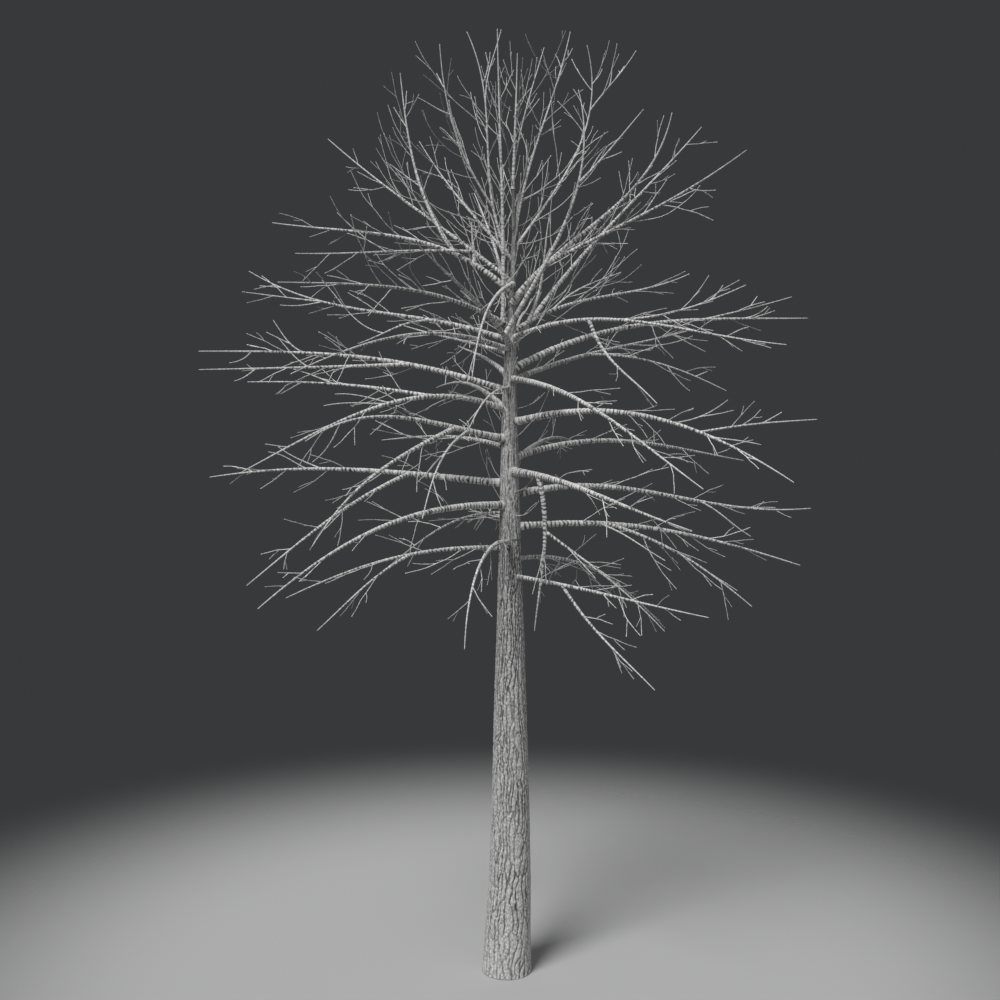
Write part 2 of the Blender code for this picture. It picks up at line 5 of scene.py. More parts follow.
import bpy
import numpy as np
from numpy.linalg import norm
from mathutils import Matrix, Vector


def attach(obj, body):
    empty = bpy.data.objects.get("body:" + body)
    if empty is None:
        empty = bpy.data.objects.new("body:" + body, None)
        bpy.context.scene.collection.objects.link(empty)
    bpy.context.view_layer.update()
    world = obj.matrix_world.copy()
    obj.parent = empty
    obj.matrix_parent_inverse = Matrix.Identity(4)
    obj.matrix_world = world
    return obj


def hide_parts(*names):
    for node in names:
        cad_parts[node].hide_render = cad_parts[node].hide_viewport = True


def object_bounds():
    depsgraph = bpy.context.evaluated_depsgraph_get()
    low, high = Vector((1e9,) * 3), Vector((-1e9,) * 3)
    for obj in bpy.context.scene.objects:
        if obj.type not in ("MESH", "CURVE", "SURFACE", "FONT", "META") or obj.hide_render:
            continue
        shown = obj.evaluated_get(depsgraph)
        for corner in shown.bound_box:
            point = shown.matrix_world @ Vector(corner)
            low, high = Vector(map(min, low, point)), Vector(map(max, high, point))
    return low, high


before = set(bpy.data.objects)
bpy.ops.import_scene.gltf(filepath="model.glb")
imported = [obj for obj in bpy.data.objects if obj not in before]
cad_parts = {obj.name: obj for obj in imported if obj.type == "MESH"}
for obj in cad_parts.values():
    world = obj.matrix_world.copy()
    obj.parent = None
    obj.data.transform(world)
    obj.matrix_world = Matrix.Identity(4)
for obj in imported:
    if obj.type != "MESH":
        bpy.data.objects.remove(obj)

CAD_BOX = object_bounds()

# A bare winter broadleaf tree, in metres, with the flat cut of its trunk on the
# ground.  The trunk, the limbs and the first twigs stand where the solids have
# them.  Finer twigs grow on from there, each only where it keeps its air.
SEED = 2417

# Trunk: height above ground, sideways lean of the axis, radius
Station = namedtuple("Station", "height lean radius")
TRUNK = [Station(*row) for row in (
    (0.0, 0.0, 0.495),
    (0.2, 0.0, 0.474),
    (1.1, 0.02, 0.446),
    (1.8, 0.055, 0.413),
    (3.0, 0.065, 0.382),
    (4.2, 0.065, 0.348),
    (5.4, 0.06, 0.315),
    (7.0, 0.06, 0.261),
    (8.2, 0.05, 0.222),
    (9.6, 0.045, 0.185),
    (11.2, 0.04, 0.143),
    (12.2, 0.06, 0.112),
    (13.0, 0.09, 0.066),
    (14.2, 0.13, 0.046),
    (15.1, 0.1, 0.034),
)]
TRUNK_TIP = TRUNK[-1].height

# Limbs from the trunk's axis.  Heading in degrees: 0 right, 90 back, 180 left.
# Run is the level distance to the tip, tip its height; rise and bend are the
# slopes at the root and the tip; bare is the share before the twigs begin.
Limb = namedtuple("Limb", "name height heading run tip rise bend radius bare", defaults=[0.0])
LIMBS = [Limb(*row) for row in (
    ("left_01", 8.38, 192, 4.24, 7.57, 4, -24, 0.047),
    ("left_02", 9.2, 222, 5.6, 7.9, 6, -32, 0.07, 0.3),
    ("left_03", 9.05, 138, 3.36, 7.67, -1, -34, 0.032),
    ("left_04", 9.61, 174, 5.85, 9.68, 5, -9, 0.071, 0.3),
    ("left_05", 10.28, 133, 3.9, 10.26, 10, -6, 0.05),
    ("left_06", 10.98, 206, 5.17, 10.03, 23, -26, 0.057, 0.26),
    ("left_07", 11.35, 176, 5.95, 12.11, 19, 0, 0.062, 0.3),
    ("left_08", 11.6, 118, 2.2, 12.22, 27, 12, 0.059),
    ("left_09", 12.05, 130, 3.55, 12.67, 12, 12, 0.039),
    ("left_10", 12.13, 226, 5.16, 11.74, 16, -20, 0.045),
    ("left_11", 12.3, 168, 5.2, 13.66, 20, 30, 0.05),
    ("left_12", 12.55, 226, 5.4, 13.2, 22, -1, 0.047),
    ("left_13", 13.15, 178, 4.5, 14.5, 46, 8, 0.057, 0.13),
    ("left_14", 13.38, 150, 4.25, 16.33, 36, 38, 0.045),
    ("front_01", 8.46, 258, 3.72, 7.2, 14, -80, 0.053),
    ("front_02", 10.46, 209, 4.1, 10.54, 9, -32, 0.066, 0.18),
    ("front_03", 12.22, 249, 4.3, 13.83, 28, 20, 0.055),
    ("front_04", 13.36, 257, 3.13, 11.67, -8, -65, 0.046),
    ("front_05", 11.42, 252, 2.3, 10.79, 1, -35, 0.036),
    ("right_01", 7.85, -48, 4.87, 7.73, 1, -1, 0.043),
    ("right_02", 8.15, 42, 4.5, 6.22, 3, -40, 0.043),
    ("right_03", 9.85, -56, 5.15, 9.26, 1, -6, 0.075, 0.14),
    ("right_04", 9.38, 12, 6.15, 9.0, 14, 4, 0.066, 0.3),
    ("right_05", 8.78, 3, 5.62, 8.0, 6, -18, 0.066, 0.26),
    ("right_06", 10.08, 30, 5.7, 9.83, 16, -10, 0.065, 0.3),
    ("right_07", 10.75, -36, 5.78, 9.95, 15, -29, 0.071, 0.34),
    ("right_08", 11.6, -57, 5.5, 9.96, -2, -22, 0.057, 0.25),
    ("right_09", 11.55, 48, 6.1, 12.6, 15, 10, 0.055),
    ("right_10", 11.75, 10, 5.9, 12.75, 29, 1, 0.065, 0.32),
    ("right_11", 12.34, -42, 5.88, 12.21, 19, -5, 0.047),
    ("right_12", 12.44, 23, 3.84, 13.63, 35, 23, 0.047),
    ("right_13", 12.14, 41, 5.33, 16.78, 48, 41, 0.055),
    ("right_14", 13.0, -24, 3.06, 16.28, 52, 78, 0.066, 0.16),
    ("back_01", 8.75, 100, 4.4, 8.2, 8, -22, 0.055),
    ("back_02", 9.95, 72, 5.2, 10.0, 12, -14, 0.062, 0.28),
    ("back_03", 10.95, 108, 5.2, 11.3, 16, -8, 0.06, 0.28),
    ("back_04", 11.95, 85, 4.6, 13.0, 24, 2, 0.05),
    ("back_05", 12.9, 103, 3.4, 15.4, 42, 30, 0.045),
    ("top_01", 15.1, 0, 0.08, 17.55, 88, 89, 0.034),
    ("top_03", 13.78, 140, 2.4, 16.2, 42, 52, 0.032),
    ("top_04", 14.0, 38, 1.78, 17.93, 49, 110, 0.03),
    ("top_05", 14.2, 56, 1.97, 18.3, 76, 69, 0.03),
)]

# Forks leave the limb they are named after, or its fork of the letter given, at
# a share of its length
Fork = namedtuple("Fork", "name share heading run tip rise bend radius letter", defaults=[""])
FORKS = [Fork(*row) for row in (
    ("left_01b", 0.44, 200, 1.8, 6.98, -26, -40, 0.028),
    ("left_04b", 0.33, 222, 3.63, 8.03, -16, -31, 0.043),
    ("front_02b", 0.28, 223, 3.24, 8.8, -19, -51, 0.05),
    ("front_02c", 0.21, 258, 3.32, 9.38, -5, -47, 0.034),
    ("left_06b", 0.3, 165, 3.67, 11.53, 9, -1, 0.039),
    ("left_07b", 0.33, 188, 3.88, 11.77, -2, -1, 0.038),
    ("left_11b", 0.28, 190, 1.47, 12.25, 6, -18, 0.026),
    ("left_12b", 0.045, 185, 0.1, 17.95, 91, 89, 0.042),
    ("left_12c", 0.24, 190, 0.36, 14.78, 60, 45, 0.022, "b"),
    ("left_13b", 0.27, 150, 1.23, 17.33, 49, 83, 0.042),
    ("left_13c", 0.19, 165, 0.05, 14.5, 90, 92, 0.04),
    ("left_13e", 0.3, 196, 3.33, 13.86, 2, 0, 0.03, "c"),
    ("right_01b", 0.29, -44, 2.17, 6.24, -48, -33, 0.03),
    ("right_03b", 0.18, -40, -0.08, 6.92, -72, -97, 0.053),
    ("right_03c", 0.35, -15, 2.23, 7.06, -35, -46, 0.028, "b"),
    ("right_04b", 0.62, -10, 1.0, 8.52, -24, -30, 0.02),
    ("right_05b", 0.33, -20, 2.77, 7.4, -14, -38, 0.036),
    ("right_05c", 0.3, -45, 1.6, 8.29, -10, -20, 0.02),
    ("right_07b", 0.68, 8, 2.1, 10.93, 10, 3, 0.022),
    ("right_10b", 0.65, 10, 1.78, 13.16, 13, 16, 0.02),
    ("right_11b", 0.32, -52, 1.75, 11.22, -65, -36, 0.036),
    ("right_11c", 0.43, 5, 2.27, 13.27, 3, 24, 0.024),
    ("right_12b", 0.24, 18, 1.4, 13.62, 46, 20, 0.022),
    ("right_12c", 0.1, 8, 0.4, 14.6, 62, 80, 0.038),
    ("right_14b", 0.22, -34, 3.93, 15.46, 23, 31, 0.042),
    ("front_03b", 0.08, -22, 1.42, 16.75, 59, 105, 0.05),
    ("front_03c", 0.65, -22, 1.2, 16.33, 41, 47, 0.024, "b"),
    ("top_01b", 0.16, 50, 0.9, 17.8, 76, 66, 0.018),
    ("top_03b", 0.05, 165, 0.8, 18.0, 64, 64, 0.03),
    ("top_03c", 0.22, 205, 1.07, 17.65, 52, 86, 0.024, "b"),
    ("top_03d", 0.66, 50, 0.45, 18.1, 94, 70, 0.014, "b"),
    ("top_04b", 0.73, 5, 0.89, 17.86, 54, 59, 0.016),
    ("right_09b", 0.39, 5, 2.84, 11.31, 0, -26, 0.026),
    ("left_07c", 0.66, 168, 0.62, 12.7, 20, 55, 0.016),
    ("left_07d", 0.36, 185, 0.46, 12.47, 25, 25, 0.012, "c"),
    ("left_07e", 0.83, 190, 0.42, 11.89, -52, -6, 0.013),
    ("left_07f", 0.48, 175, 0.58, 12.37, 30, 49, 0.015, "b"),
    ("left_07g", 0.73, 200, 0.41, 11.56, -38, -14, 0.013, "b"),
    ("left_06c", 0.53, 172, 0.76, 11.78, 23, 15, 0.018, "b"),
    ("left_06d", 0.7, 175, 0.4, 11.31, -29, -29, 0.012, "b"),
    ("left_06e", 0.45, 185, 1.0, 11.34, 13, -4, 0.016),
    ("left_06f", 0.46, 195, 1.16, 11.14, 1, -11, 0.016),
    ("left_06g", 0.83, 205, 0.41, 10.5, 3, 7, 0.012),
    ("left_04c", 0.62, 165, 0.92, 10.29, 21, 36, 0.014),
    ("left_04d", 0.67, 185, 0.73, 10.19, 26, 6, 0.014),
    ("left_11c", 0.7, 178, 1.56, 13.25, 6, 7, 0.019),
    ("left_11d", 0.7, 190, 0.81, 12.99, -12, 6, 0.013),
    ("left_11e", 0.66, 170, 1.19, 13.45, 10, 46, 0.014, "b"),
    ("front_02d", 0.83, 190, 0.49, 10.16, -66, -35, 0.014),
    ("top_03e", 0.6, 200, 0.61, 16.68, 14, 22, 0.013, "c"),
    ("top_03f", 0.42, 170, 0.37, 16.21, 28, 28, 0.013, "c"),
    ("top_03g", 0.42, 215, 0.21, 16.61, 66, -109, 0.012, "c"),
    ("top_03h", 0.54, 170, 0.22, 16.51, 74, 50, 0.012, "b"),
    ("left_13k", 0.72, 160, 0.27, 16.7, 53, 58, 0.012, "b"),
    ("left_13l", 0.41, 150, 0.7, 15.66, 33, 33, 0.015, "b"),
    ("top_04c", 0.84, 20, 0.21, 17.52, 49, 71, 0.012),
    ("top_04d", 0.4, 10, 0.06, 17.5, 62, -90, 0.011, "b"),
    ("top_05b", 0.75, 240, 0.05, 17.55, 48, 111, 0.011),
    ("front_03d", 0.33, -10, 0.38, 15.63, 17, 26, 0.012, "c"),
    ("front_03e", 0.18, -20, 0.59, 15.86, 63, 14, 0.014, "c"),
    ("right_11d", 0.7, 10, 0.25, 13.27, 36, 58, 0.012, "c"),
    ("right_10c", 0.51, 15, 0.17, 13.17, 58, 53, 0.012, "b"),
    ("right_10d", 0.39, 5, 0.52, 13.06, 29, 14, 0.013, "b"),
    ("right_10e", 0.78, 20, 0.55, 12.98, 11, 41, 0.012),
    ("right_11e", 0.81, -30, 0.37, 12.5, 28, 12, 0.012),
    ("right_09c", 0.87, 40, 1.13, 12.34, -13, -3, 0.014),
    ("right_09d", 0.87, 20, 0.8, 12.1, -26, -23, 0.014),
    ("right_09e", 0.62, 35, 1.75, 12.44, -4, 18, 0.016),
    ("right_09f", 0.55, 0, 0.47, 11.31, -55, -36, 0.012, "b"),
    ("right_09g", 0.76, 10, 0.26, 11.71, 22, 22, 0.011, "b"),
    ("right_07c", 0.59, -20, 0.95, 11.28, 8, 39, 0.016),
    ("right_07d", 0.46, -30, 0.62, 11.11, 9, 16, 0.012, "c"),
    ("right_07e", 0.53, 15, 0.37, 11.06, 26, 29, 0.012, "b"),
    ("right_07f", 0.72, -25, 0.86, 10.54, -7, -12, 0.014),
)]

CURVE_HANDLE = 0.38  # reach of a limb's slopes, as a share of its chord
CURVE_POINTS = 41
LIMB_TIP_RADIUS = 0.007
STEM_SPAN = 0.62  # length of one straight stretch that is kept clear
MOST_STRETCHES = 40000
LEAVES_WITHIN = 0.5  # share of a limb by which it is out of the trunk
LEAVES_PLACES = 101  # shares looked at for that
NEARLY_UPRIGHT = 0.95
TINY = 1e-12
SLIGHT = 1e-6

# Twigs along a stem: the step from one to the next and its shares, the bare ends
# of the stem, the stray of the turn about it, the lean and its strays, the shares
# of the full length and the shortest, the most girth as a share of the stem's,
# the radii at root and tip, and the air kept all round
Twigs = namedtuple(
    "Twigs", "step steps first last stray angle angles sizes shortest girth radius tip air"
)
FIRST_TWIGS = Twigs(
    step=0.7, steps=(0.75, 1.25), first=0.1, last=0.65,
    stray=22.0, angle=34.0, angles=(-10.0, 10.0), sizes=(0.5, 1.1), shortest=0.0,
    girth=0.75, radius=0.013, tip=0.008, air=0.03,
)
FINE_TWIGS = FIRST_TWIGS._replace(
    steps=(0.5, 1.3), first=0.15, last=0.6, angles=(-10.0, 12.0), sizes=(0.5, 1.15),
    shortest=0.2, radius=0.0086, tip=0.0054,
)
SIDE_TWIGS = Twigs(  # upon a twig; the first and last are shares of it
    step=0.54, steps=(0.8, 1.6), first=0.36, last=0.93,
    stray=30.0, angle=29.0, angles=(-8.0, 10.0), sizes=(0.55, 1.0), shortest=0.15,
    girth=0.85, radius=0.007, tip=0.005, air=0.012,
)
SIDE_FIRST_STRAY = 0.2
SIDE_LENGTH = 0.62  # full length, as a share of the twig's own
SIDE_REACH = 1.15  # less the share along, this shortens them to the tip
EVEN = (1.0, 1.0)
FINE_SPREAD = (0.55, 1.35)  # share of the step at a lower limb's foot and tip
FINE_BARE = 0.6  # share of a bare bough that even the fine ones leave
FORK_BARE = 0.05  # share of a fork that they leave
TWIG_TURN = 137.5  # turn about the limb from one twig to the next
TWIG_LENGTH = 1.3  # at the limb's foot, and at most
TWIG_OF_LIMB = 0.55  # the same as a share of the limb's length
TWIG_SHORTEST = 0.45  # share of the length left at the limb's tip
TWIG_BEND = 10.0  # turn towards the limb's direction half way along
TWIG_BENDS = (-1.0, 1.6)
TWIG_OWN_SHARE = 0.35  # inner part of a twig that may touch its own limb
LOWEST_TWIG = 5.2  # no twig hangs below this height
HIGHEST_TWIG = 18.15  # nor stands above the tallest shoot
CROWN_INSET = 0.012  # how far the finer twigs keep inside the crown

# Long thin shoots that rise from the inner crown
SHOOT_HEIGHT = 12.4  # limbs that leave the trunk above this bear them
SHOOT_FIRST = 0.05
SHOOT_STEP = 0.36
SHOOT_STEPS = (0.5, 1.6)
SHOOT_SPAN = 0.6  # inner share of such a limb
SHOOT_LENGTH = (0.8, 2.1)
SHOOT_LEAST = 0.45  # share of it on the shortest limbs
SHOOT_GAIN = 5.0  # length of limb over which that share grows by one
SHOOT_ANGLE = (18.0, 52.0)  # away from the limb's own direction
SHOOT_LIFT = 0.4  # how far a shoot turns upright by its tip
SHOOT_LIFTS = (0.6, 1.2)
SHOOT_RADIUS = 0.009
SHOOT_SLIM = 0.25  # share of the radius that a short shoot lacks
SHOOT_OF_GIRTH = 0.7  # at most this share of the stem's radius
SHOOT_TIP = 0.0048
SHOOT_CLEAR = 0.006
LEADER_LOW = 8.9  # the trunk bears them between these heights
LEADER_HIGH = 17.2
LEADER_STEP = 0.15
LEADER_TURN_STRAY = 30.0
LEADER_WIDER = 1.2  # how much longer the step is below the high limbs
LEADER_LENGTH = (0.6, 1.7)
LEADER_RISE = (5.0, 65.0)  # degrees above the level, below the high limbs
LEADER_RISE_HIGH = (35.0, 75.0)
LEADER_ROOT = 0.8  # its root, as a share of the trunk's radius

# How a twig is drawn
SLIM_FROM = 0.0096  # a twig thicker than this is drawn slimmer
TWIG_SLIM = 0.78
TWIG_WAVER = 0.01  # sideways waver, as a share of a twig's length
WAVER_UP = 0.7  # the waver upward, as a share of that
WAVES = (9.4, 13.0)  # radians of both along a twig
WAVE_STARTS = 6.283
WAVE_PLACES = 9.0  # how fast the start changes from place to place
WAVE_SEED = SEED % 97
TWIG_RING = 0.13  # length of one ring
FEWEST_SPANS = 3
TWIG_SIDES = 5
BUD_LENGTH = 0.03
BUD_SWELL = 1.3
BUD_SHOULDER = 0.4  # share of the bud beyond its widest part
BUD_POINT = 0.45  # share of the girth left at the point
LIMB_POINT = 0.45  # share taken off a limb's

# Unevenness of bark: a grain is so many cells round a stem, of this length
# along it; a pair of numbers is the least value and what the grain may add
Grain = namedtuple("Grain", "cells length seed")
SCATTER = (127.1, 311.7, 74.7, 43758.5453)
FAR = 9.0  # farther than any plate's middle

# Bark of the trunk: upright plates between furrows, in cells round and along it
TRUNK_SKINS = (  # from, to, step between rings, points round a ring
    (0.0, 8.6, 0.024, 208),
    (8.57, TRUNK_TIP, 0.03, 88),
)
# The last but one column says how far a furrow darkens the bark: darker bark in part, painted shade
# in the furrow in part.
Plates = namedtuple("Plates", "around tall depth half thinnest thickest dark seed")
PLATES = (  # between these radii of the trunk
    Plates(26, 0.8, 0.028, 0.019, 0.17, 9.0, 1.0, 100),
    Plates(15, 0.62, 0.021, 0.017, -1.0, 0.26, 1.0, 110),
    Plates(54, 0.13, 0.009, 0.009, 0.17, 9.0, 0.6, 120),
)
PLATE_FADE = 0.06
PLATE_SWAYS = ((1.3, Grain(8, 0.95, 0)), (0.8, Grain(21, 0.22, 1)))  # round
PLATE_SLIPS = ((1.2, Grain(11, 0.5, 2)),)  # and along the trunk, in cells
PLATE_SEED = 3
PLATE_ROUND = (0.1, 0.8)  # place of a plate's middle in its cell, round
PLATE_ALONG = (0.05, 0.9)  # and along the trunk
PLATE_LENGTHENED = 0.17  # how little height counts in a plate's shape
PLATE_SLOPE = 0.7  # least slope from a furrow to a plate's middle
JAGGED = 0.022  # how far a furrow's edges stray, in this grain
JAGS = ((1.0, Grain(170, 0.04, 51)),)
FURROW_FLAT = 0.25  # flat bottom, as a share of half a furrow
CROSS_FURROW = 0.3  # share of the depth in a level furrow
CROSS_LEVEL = (-0.3, 1.6)
STRENGTH = (0.7, 0.3)  # depth from place to place
STRENGTH_CHANGE = (-0.4, 2.0)
STRENGTH_GRAIN = Grain(9, 0.6, 31)
RIDGES = ((1.0, Grain(120, 0.04, 6)), (1.0, Grain(50, 0.1, 7)))
RIDGE_ROUGHNESS = 0.006
TAPER_ROUNDED = 0.12  # height that rounds the taper's corners
TAPER_PLACES = 5
SKIN_INSET = 0.003  # how far the ridges lie inside the solid

# Bark of the limbs: short wavy furrows across them
LIMB_SIDES = ((0.04, 12), (0.02, 9), (0.0, 6))  # above a radius, points round
LIMB_RING = 0.0125  # length of one ring on the thick parts
THIN_RING = 0.018
THICK_LIMB = 0.03
LIMB_LUMPS = ((0.1, Grain(3, 0.17, 0)),)  # as a share of the radius
LIMB_BAND = 0.076  # from one level furrow on a limb to the next
BAND_WANDER = ((0.9, Grain(4, 0.12, 40)),)
BAND_PLACE = (0.24, 0.52)  # place of the furrow in its band
BAND_PLACE_SEED = 5
LIMB_FURROW = 0.2  # depth of a furrow, as a share of the radius
LIMB_FURROW_HALF = 0.021
LIMB_FURROW_FLAT = 0.2
HALF_WIDTH = (0.6, 0.8)  # shares of that half width along a furrow
HALF_GRAIN = Grain(2, 0.1, 60)
DEEP = (0.6, 0.85)  # shares of the depth along a furrow,
DEEP_GRAIN = Grain(3, 0.09, 80)
DEEP_BANDS = (0.65, 0.5)  # from one furrow to the next
DEEP_SEED = 9
DEEP_GIRTH = (0.4, 0.6)  # and from thin wood to thick
THIN_WOOD = 0.01
WOOD_SPAN = 0.014
# The furrows are fainter on top of a limb, which paints shade on its underside.
TOP_FADE_FOR_UNDERSIDE_SHADE = 0.5  # how much fainter the furrows are on top of a limb
TOP_SPAN_FOR_UNDERSIDE_SHADE = (0.05, 0.9)
UPRIGHT_FADE = 0.45  # and on rising stems
UPRIGHT_FROM = 0.5
UPRIGHT_SPAN = 0.35
COLLAR = (0.22, 0.12)  # a limb's swelling at the trunk, and its reach
FORK_COLLAR = (0.2, 0.1)

# Looks of bark: its flecks, their colours, what a furrow leaves of them (darker bark and painted
# shade in the furrow), bump and shine; a colour is its place on the ramp, its grey and its warmth
Bark = namedtuple("Bark", "tall scale detail rough colours furrow bump height dull gloss")
# The furrow ramps darken the bark in the furrows: darker bark in part, painted shade in part.
TRUNK_BARK = Bark(
    0.8, 30.0, 6.0, 0.7,
    ((0.34, 0.24, 0.0), (0.5, 0.52, 0.01), (0.64, 0.8, 0.01)),
    ((0.0, 0.22, 0.0), (0.45, 0.62, 0.0), (0.85, 1.0, 0.0)),
    0.6, 0.006, 0.9, 0.2,
)
LIMB_BARK = Bark(
    1.0, 34.0, 5.0, 0.65,
    ((0.34, 0.38, 0.0), (0.5, 0.64, 0.01), (0.64, 0.86, 0.01)),
    ((0.0, 0.08, 0.0), (0.5, 0.5, 0.0), (0.9, 1.0, 0.0)),
    0.6, 0.004, 0.88, 0.2,
)
TWIG_BARK = Bark(
    1.0, 24.0, 4.0, 0.5,
    ((0.34, 0.62, 0.0), (0.62, 1.25, 0.01)),
    (),
    0.4, 0.002, 0.8, 0.25,
)
TWIG_SHADES = (0.46, 0.6, 0.74)
CUT_RINGS = 22.0  # growth rings of the cut wood
CUT_WANDER = 1.5
CUT_COLOURS = ((0.0, (0.36, 0.29, 0.21)), (1.0, (0.48, 0.4, 0.3)))
CUT_DULL = 0.8
COLOUR_A, COLOUR_B, COLOUR_OUT = 6, 7, 2  # the sockets of a mix of colours

SIDES = ("left", "right", "front", "back", "top")
QUARTERS = ("right", "back", "left", "front")  # from the right, by heading

FLOOR_SIZE = 18.0
FLOOR_POINTS = 96
FLOOR_FADE = (5.0, 17.0)  # the floor thins out between these distances
FLOOR_GREY = 0.42
STUDIO = (0.0395, 0.041, 0.0425)
# Soft suns: azimuth 0 is the right and 90 the back, height above the horizon
Sun = namedtuple("Sun", "name energy spread azimuth height")
SUNS = (
    Sun("key", 3.1, 22.0, 236.0, 56.0),
    Sun("fill", 0.45, 60.0, 300.0, 20.0),
    Sun("rim", 0.3, 60.0, 90.0, 50.0),
)
CAMERA_PLACE = (-0.138, -26.23, 12.09)
CAMERA_TILT = 6.07  # degrees below the horizon
CAMERA_LENS = 50.0
CAMERA_SENSOR = 36.0
CAMERA_REACH = 500.0


class Curve:
    """One limb's line: a cubic in an upright plane, measured along its length."""

    def __init__(self, start, limb):
        height, run, tip = start[2], limb.run, limb.tip
        handle = CURVE_HANDLE * hypot(run, tip - height)
        heading, rise, bend = radians(limb.heading), radians(limb.rise), radians(limb.bend)
        corners = [
            (0.0, height),
            (handle * cos(rise), height + handle * sin(rise)),
            (run - handle * cos(bend), tip - handle * sin(bend)),
            (run, tip),
        ]
        a, b, c, d = np.array(corners)
        t = np.linspace(0.0, 1.0, CURVE_POINTS)[:, None]
        flat = (1 - t) ** 3 * a + 3 * (1 - t) ** 2 * t * b + 3 * (1 - t) * t * t * c + t ** 3 * d
        x = start[0] + flat[:, 0] * cos(heading)
        y = start[1] + flat[:, 0] * sin(heading)
        self.points = np.stack([x, y, flat[:, 1]], axis=1)
        steps = norm(np.diff(self.points, axis=0), axis=1)
        self.distances = np.concatenate([[0.0], np.cumsum(steps)])
        self.length = self.distances[-1]
        slopes = np.gradient(self.points, self.distances, axis=0)
        self.slopes = slopes / norm(slopes, axis=1)[:, None]

    def at(self, share):
        """The point at a share of the length."""
        return self.between(self.points, share)

    def direction(self, share):
        """The unit direction at a share of the length."""
        slope = self.between(self.slopes, share)
        return slope / norm(slope)

    def between(self, rows, share):
        """A row of numbers at a share of the length."""
        return np.array([np.interp(share * self.length, self.distances, column) for column in rows.T])


def trunk_at(height):
    """The lean and the radius of the trunk at a height."""
    heights, leans, radii = zip(*TRUNK)
    return np.interp(height, heights, leans), np.interp(height, heights, radii)


def limb_radius(root_radius, share):
    """The radius of a limb at a share of its length."""
    return root_radius + (LIMB_TIP_RADIUS - root_radius) * share


# The foot is the share of a limb's length at which it leaves the trunk
Line = namedtuple("Line", "curve radius side limb bare foot")


def lines_of_limbs():
    """The lines of all limbs and forks by name."""
    lines = {}
    for limb in LIMBS:
        lean, _ = trunk_at(limb.height)
        curve = Curve((lean, 0.0, limb.height), limb)
        foot = share_outside_trunk(curve)
        side = limb.name.split("_")[0]
        lines[limb.name] = Line(curve, limb.radius, side, limb.name, limb.bare, foot)
    for fork in FORKS:
        parent = lines[fork.name[:-1] + fork.letter]
        curve = Curve(parent.curve.at(fork.share), fork)
        lines[fork.name] = Line(curve, fork.radius, parent.side, parent.limb, 0.0, 0.0)
    return lines


def share_outside_trunk(curve):
    """The share of its length at which a limb leaves the trunk's bark."""
    for share in np.linspace(0.0, LEAVES_WITHIN, LEAVES_PLACES):
        point = curve.at(share)
        lean, radius = trunk_at(point[2])
        if point[2] > TRUNK_TIP or hypot(point[0] - lean, point[1]) > radius:
            return share
    return LEAVES_WITHIN


def from_trunk(name, line):
    """Whether a limb starts inside the trunk."""
    return name == line.limb and line.curve.points[0][2] < TRUNK_TIP


def cross_axes(direction):
    """Two unit axes across a direction, the second one upward."""
    upright = np.array([0.0, 0.0, 1.0])
    if abs(direction[2]) > NEARLY_UPRIGHT:
        upright = np.array([1.0, 0.0, 0.0])
    side = np.cross(direction, upright)
    side /= norm(side)
    return side, np.cross(side, direction)


def aside(forward, lean, roll):
    """The direction that leans away from forward, rolled about it."""
    side, up = cross_axes(forward)
    out = cos(roll) * side + sin(roll) * up
    return cos(lean) * forward + sin(lean) * out


def bent_line(root, forward, lean, roll, bend, length):
    """Root, knee and tip of a twig that leans from forward and bends back."""
    knee = root + aside(forward, lean, roll) * length * 0.5
    return [root, knee, knee + aside(forward, lean - bend, roll) * length * 0.5]


def thinning(thick, tip):
    """The radii of a twig at its root, knee and tip."""
    return [thick, 0.5 * (thick + tip), tip]


class Standing:
    """The straight stretches already standing, each with its owner."""

    def __init__(self):
        self.rows = np.zeros((MOST_STRETCHES, 7))
        self.owners = np.zeros(MOST_STRETCHES, dtype=int)
        self.names = {}
        self.count = 0

    def add(self, owner, centres, radii):
        """A line of stretches, each as thick as its thicker end."""
        number = self.names.setdefault(owner, len(self.names))
        for i in range(len(centres) - 1):
            self.rows[self.count] = (*centres[i], *centres[i + 1], max(radii[i], radii[i + 1]))
            self.owners[self.count] = number
            self.count += 1

    def air(self, centres, radii, skip=None):
        """The least air between a line of stretches and all but one owner."""
        rows = self.rows[: self.count]
        if skip is not None:
            rows = rows[self.owners[: self.count] != self.names[skip]]
        low, high, thick = rows[:, 0:3], rows[:, 3:6], rows[:, 6]
        least = inf
        for i in range(len(centres) - 1):
            apart = stretch_distance(centres[i], centres[i + 1], low, high)
            least = min(least, float((apart - thick).min()) - max(radii[i], radii[i + 1]))
        return least

    def clear(self, owner, centres, radii, air):
        """Whether a twig keeps its height and its air, and leaves its owner."""
        if not LOWEST_TWIG < centres[-1][2] < HIGHEST_TWIG:
            return False
        outer = [centres[0] + (centres[1] - centres[0]) * TWIG_OWN_SHARE, *centres[1:]]
        return self.air(centres, radii, skip=owner) >= air and self.air(outer, radii) > 0.0


def stretch_distance(start, end, low, high):
    """The distance from one straight stretch to each of many."""
    along = end - start
    other = high - low
    offset = start - low
    a = max(float(along @ along), TINY)
    e = np.maximum((other * other).sum(axis=1), TINY)
    b = other @ along
    c = offset @ along
    f = (other * offset).sum(axis=1)
    spread = a * e - b * b
    s = np.where(spread > TINY, (b * f - c * e) / np.maximum(spread, TINY), 0.0)
    s = np.clip(s, 0.0, 1.0)
    t = np.clip((b * s + f) / e, 0.0, 1.0)
    s = np.clip((b * t - c) / a, 0.0, 1.0)
    gap = start + s[:, None] * along - low - t[:, None] * other
    return norm(gap, axis=1)


